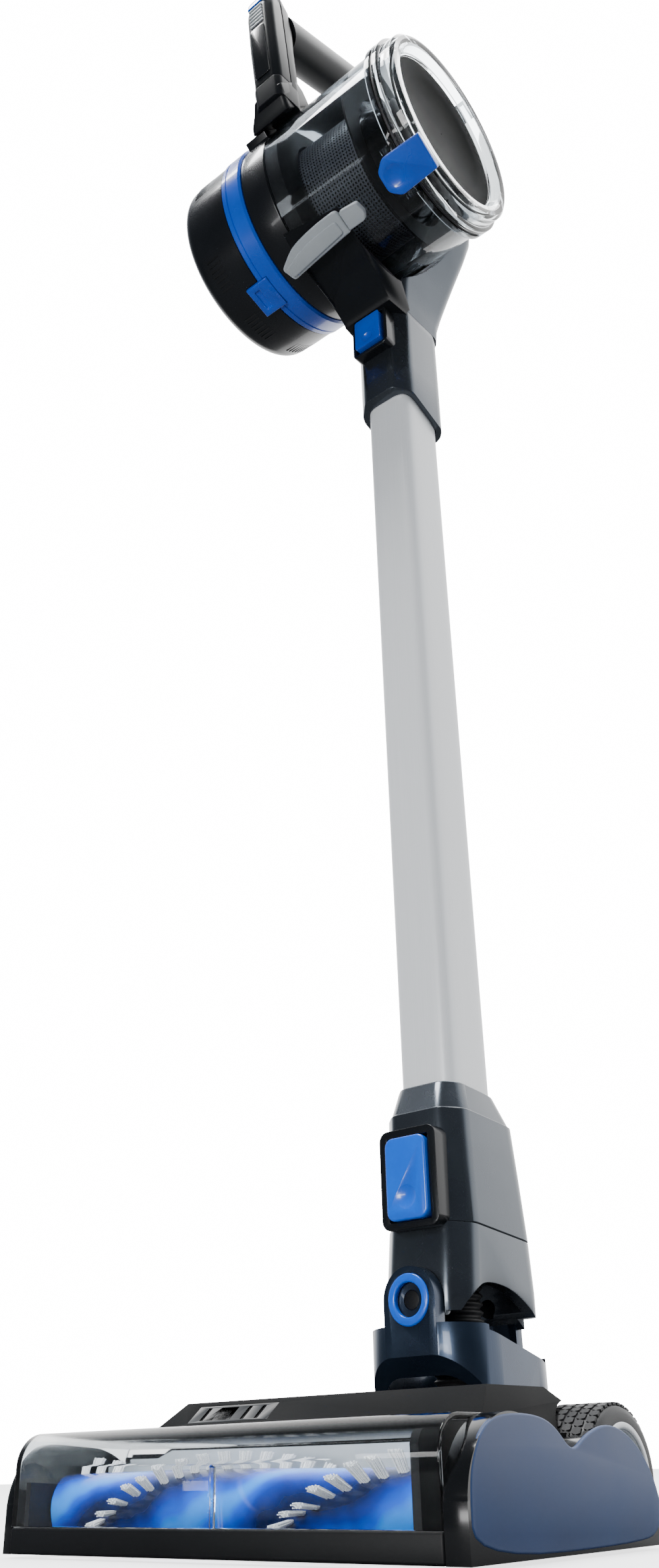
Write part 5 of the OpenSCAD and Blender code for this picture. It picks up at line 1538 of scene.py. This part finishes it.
@dataclass
class Handle:
    """The D-shaped handle with the battery in its front post.

    Args:
        grip_half: Half width and half thickness of the grip.
        slope: Slope of the grip, in degrees.
        lean: Forward lean of the post, in degrees.
        gauge_ribs: Ribs on the battery's gauge panel.
        grip_at: Y and Z at which the grip passes over the post.
        post_at: Foot of the post.
        bracket_a: Direction of the post's bracket round the cup, in degrees.
    """

    grip_half: tuple[float, float] = (15.5, 17.6)
    slope: float = 23.0
    lean: float = 7.5
    gauge_ribs: int = 6
    grip_at: tuple[float, float] = (-32.0, 1083.0)
    post_at: tuple[float, float, float] = (0.0, -81.0, 976.0)
    bracket_a: float = 140.0

    def grip(self) -> None:
        """Sweeps the grip from the post's head over to the rear spine."""
        high, f_high = span("handle")[1], span("main_frame")[1]
        c, s = math.cos(math.radians(self.slope)), math.sin(math.radians(self.slope))
        mid = self.grip_at
        a = (mid[0] - 36 * c, mid[1] - 36 * s)
        b = (mid[0] + 58 * c, mid[1] + 58 * s)
        spine = (high.y - 8.0, f_high.z)
        path = [(a[0] + (b[0] - a[0]) * i / 14, a[1] + (b[1] - a[1]) * i / 14) for i in range(14)]
        path += bezier(b, (b[0] + 36 * c, b[1] + 36 * s), (spine[0], spine[1] + 78),
                       (spine[0], spine[1] + 34), 18)
        path += [(spine[0], spine[1] + 34 - 34 * i / 5) for i in range(6)]
        sizes = []
        for i in range(len(path)):
            t = max(0.0, min(1.0, (i - 14) / 16))
            t = t * t * (3 - 2 * t)
            sizes.append((self.grip_half[0] - 2.0 * t, self.grip_half[1] + (8.0 - self.grip_half[1]) * t))
        grip = sweep("handle_grip", path, sizes, 2.35)
        up = Vector((0, -s, c))
        for node in ("power_button", "mode_button"):
            p_low, p_high = span(node)
            centre = (p_low + p_high) / 2
            cut(grip, rod(CUTTER, centre - up * 11, centre + up * 12, 8.5))
        smooth(grip, 40)
        report("handle", PAINT.dress(grip, "soft_touch_abs", "hand_unit", "handle"))

    def post(self) -> None:
        """Makes the post that holds the battery, and its foot on the motor housing."""
        put = Matrix.Translation(self.post_at) @ Matrix.Rotation(math.radians(self.lean), 4, "X")
        shell_rings = []
        for z, half, front, back in ((-6, 13.2, -1.0, 30), (13.4, 13.6, -1.5, 30), (14.0, 13.6, -1.5, 30)):
            ring = soft_outline([(-half + 4, front, 2), (half - 4, front, 2), (half, front + 4, 2),
                                 (half, back - 5, 4), (half - 6, back, 4), (-half + 6, back, 4),
                                 (-half, back - 5, 4), (-half, front + 4, 2)])
            shell_rings.append([tuple(put @ Vector((x, y, z))) for x, y in ring])
        foot = loft("post_foot", shell_rings)
        back_rings = []
        for z, half, back in ((13.0, 13.6, 30), (60, 13.6, 30), (84, 13.6, 32), (104, 13.4, 30),
                              (113, 12.6, 24), (116, 11.4, 20)):
            ring = soft_outline([(-half, 15.7, 0.8), (half, 15.7, 0.8), (half, back - 5, 4), (half - 5, back, 4),
                                 (-half + 5, back, 4), (-half, back - 5, 4)])
            back_rings.append([tuple(put @ Vector((x, y, z))) for x, y in ring])
        spine = loft("post_back", back_rings)
        report("handle", PAINT.dress(bevel(foot, 0.8), "soft_touch_abs", "hand_unit"),
               PAINT.dress(bevel(spine, 0.8), "soft_touch_abs", "hand_unit"))
        cup_low, cup_high = span("filter_ring")
        centre = ((cup_low.y + cup_high.y) / 2, (cup_low.z + cup_high.z) / 2)
        out = Matrix.Translation((0, *centre)) @ Matrix.Rotation(math.radians(self.bracket_a), 4, "X")
        bracket_rings = []
        for r, x0, x1, half in ((79.2, -26, 12, 21), (84, -24, 12.5, 21), (91, -18, 13.4, 20),
                                (99, -14, 13.6, 17)):
            ring = soft_outline([(x0, -half, 4), (x1, -half, 4), (x1, half, 4), (x0, half, 4)])
            bracket_rings.append([tuple(out @ Vector((x, r, z))) for x, z in ring])
        bracket = loft("post_bracket", bracket_rings)
        report("handle", PAINT.dress(bevel(bracket, 1.0), "soft_touch_abs", "hand_unit"))
        self.battery(put)

    def battery(self, put: Matrix) -> None:
        """Makes the battery with its gauge ribs, dark panel and button."""
        rings = []
        for z, half, front in ((14.4, 13.2, -1.2), (16, 13.6, -1.6), (60, 13.6, -2.2), (96, 13.4, -1.2),
                               (106, 12.8, 1.2), (111, 11.8, 4.0)):
            ring = soft_outline([(-half + 5.5, front, 2), (half - 5.5, front, 2), (half, front + 5.5, 2),
                                 (half, 15.2, 0.6), (-half, 15.2, 0.6), (-half, front + 5.5, 2)])
            rings.append([tuple(put @ Vector((x, y, z))) for x, y in ring])
        pack = loft("battery_housing", rings)
        report("handle", PAINT.dress(bevel(pack, 0.9), "soft_touch_abs", "battery", "battery_pack"))
        panel_put = put @ Matrix(((1, 0, 0, 0), (0, 0, -1, -1.4), (0, 1, 0, 0), (0, 0, 0, 1)))
        outline = soft_outline([(-7.2, 20, 3), (7.2, 20, 3), (7.2, 74, 3), (-7.2, 74, 3)], 4)
        panel = slab("battery_panel", outline, 0.0, 1.5, panel_put)
        report("handle", PAINT.dress(bevel(panel, 0.4), "polished_abs_black", "battery"))
        rib = bevel(block("rib", (-6.8, -0.8, -0.95), (6.8, 0.7, 0.95)), 0.5, 2)
        marks = [tuple(put @ Vector((0, -1.6, 79 + 3.6 * i))) for i in range(self.gauge_ribs)]
        lean = (math.radians(self.lean), 0, 0)
        report("handle", repeated("battery_gauge_ribs", rib, marks, [lean] * len(marks), "satin_abs_light_grey",
                                  "battery"))
        button_rings = []
        for z, half, front, back in ((103, 9.6, 0.2, 11), (109, 9.6, 1.6, 12.5), (112.6, 9.0, 3.4, 13),
                                     (113.6, 8.0, 4.6, 12)):
            ring = soft_outline([(-half, front, 2.5), (half, front, 2.5), (half, back, 2.5), (-half, back, 2.5)])
            button_rings.append([tuple(put @ Vector((x, y - 0.8, z))) for x, y in ring])
        button = loft("battery_release_button", button_rings)
        report("handle", PAINT.dress(bevel(button, 0.6), "polished_abs_blue", "battery_release",
                                     "battery_button"))

    def build(self) -> None:
        """Builds the handle."""
        rounded_copies("handle", [("power_button", "polished_abs_button_blue", 0.8),
                                  ("mode_button", "lacquered_abs_gunmetal", 0.8)])
        self.grip()
        self.post()


# ---------------------------------------------------------------- studio

@dataclass
class Studio:
    """The camera, the pale floor and the soft light.

    Args:
        camera_at: Camera position in metres.
        azimuth: Turn of the view from +Y towards -X, in degrees.
        pitch: Upward tilt.
        roll: Roll about the view.
        focal: Focal length on a 36 mm sensor.
        backdrop: Strength of the light from the backdrop.
        white: Strength of the backdrop where it is seen.
    """

    camera_at: tuple[float, float, float] = (0.425, -0.5443, 0.0323)
    azimuth: float = 39.31
    pitch: float = 28.11
    roll: float = -1.42
    focal: float = 29.45
    backdrop: float = 2.6
    white: float = 16.0

    def camera(self) -> None:
        """Sets the camera."""
        a, p, ro = (math.radians(v) for v in (self.azimuth, self.pitch, self.roll))
        right = Vector((math.cos(a), math.sin(a), 0))
        ahead = Vector((-math.sin(a), math.cos(a), 0))
        view = ahead * math.cos(p) + Vector((0, 0, math.sin(p)))
        up = -ahead * math.sin(p) + Vector((0, 0, math.cos(p)))
        right, up = right * math.cos(ro) + up * math.sin(ro), -right * math.sin(ro) + up * math.cos(ro)
        data = bpy.data.cameras.new("camera")
        data.lens = self.focal
        data.sensor_width = 36.0
        data.clip_start = 0.01
        camera = bpy.data.objects.new("camera", data)
        camera.matrix_world = Matrix((right, up, -view)).transposed().to_4x4()
        camera.location = self.camera_at
        bpy.context.scene.collection.objects.link(camera)
        bpy.context.scene.camera = camera

    def lamp(self, name: str, at: Point, target: Point, size: tuple[float, float], power: float) -> None:
        """Adds a soft rectangular lamp that faces a target."""
        data = bpy.data.lights.new(name, "AREA")
        data.shape = "RECTANGLE"
        data.size, data.size_y = size
        data.energy = power
        lamp = bpy.data.objects.new(name, data)
        lamp.location = at
        lamp.rotation_euler = (Vector(target) - Vector(at)).to_track_quat("-Z", "Y").to_euler()
        bpy.context.scene.collection.objects.link(lamp)

    def floor(self) -> None:
        """Lays the pale floor, which is lifted to near white where the camera sees it."""
        far, z = 6000, -0.4
        corners = [(-far, -far, z), (far, -far, z), (far, far, z), (-far, far, z)]
        piece = mesh_object("floor", corners, [(0, 1, 2, 3)])
        material = bpy.data.materials.new("pale_floor")
        material.use_nodes = True
        shader = material.node_tree.nodes["Principled BSDF"]
        shader.inputs["Roughness"].default_value = 0.6
        path = add(material.node_tree, "ShaderNodeLightPath")
        lift = add(material.node_tree, "ShaderNodeMath", {"operation": "MULTIPLY"},
                   {0: path.outputs["Is Camera Ray"], 1: 2.2})
        tone = add(material.node_tree, "ShaderNodeMix", {"data_type": "RGBA"},
                   {0: path.outputs["Is Camera Ray"], 6: linear("#4A4C4F"), 7: linear("#F2F3F4")})
        material.node_tree.links.new(tone.outputs[2], shader.inputs["Base Color"])
        shader.inputs["Emission Color"].default_value = (1, 1, 1, 1)
        material.node_tree.links.new(lift.outputs[0], shader.inputs["Emission Strength"])
        piece.data.materials.append(material)

    def world(self) -> None:
        """Lights the scene from a backdrop that is dark towards the front and white where it is seen."""
        world = bpy.data.worlds.new("studio")
        bpy.context.scene.world = world
        world.use_nodes = True
        tree = world.node_tree
        coords = add(tree, "ShaderNodeTexCoord")
        apart = add(tree, "ShaderNodeSeparateXYZ", inputs={0: coords.outputs["Generated"]})
        level = add(tree, "ShaderNodeMapRange",
                    inputs={"Value": apart.outputs[1], "From Min": -0.5, "From Max": 0.35})
        shade = ramp(tree, level.outputs[0],
                     [(0.0, "#3A3E44"), (0.45, "#5A5E64"), (0.75, "#C8CCD0"), (1.0, "#FFFFFF")])
        lit = tree.nodes["Background"]
        tree.links.new(shade, lit.inputs["Color"])
        lit.inputs["Strength"].default_value = self.backdrop
        seen = add(tree, "ShaderNodeBackground", inputs={"Color": (1, 1, 1, 1), "Strength": self.white})
        path = add(tree, "ShaderNodeLightPath")
        mixed = add(tree, "ShaderNodeMixShader",
                    inputs={0: path.outputs["Is Camera Ray"], 1: lit.outputs[0], 2: seen.outputs[0]})
        tree.links.new(mixed.outputs[0], tree.nodes["World Output"].inputs["Surface"])

    def build(self) -> None:
        """Builds the studio."""
        self.camera()
        self.floor()
        self.world()
        for name, at, target, size, power in (
                ("key", (-0.5, -0.9, 3.2), (0, 0, 0.7), (1.2, 0.8), 105),
                ("low_front", (-0.2, -1.5, 0.16), (0, 0, 0.05), (0.9, 0.12), 4),
                ("under", (0.2, -1.7, 0.3), (0, 0, 0.93), (0.5, 0.5), 16),
                ("top", (0.1, 0.7, 2.9), (0, 0, 0.6), (1.4, 1.0), 30)):
            self.lamp(name, at, target, size, power)


def main() -> None:
    """Builds every sub-assembly."""
    logging.basicConfig(level=logging.INFO, format="%(name)s %(message)s")
    Studio().build()
    for group in (FloorHead(), Neck(), Wand(), HandUnit(), Handle()):
        group.build()


if __name__ == "__main__":
    main()
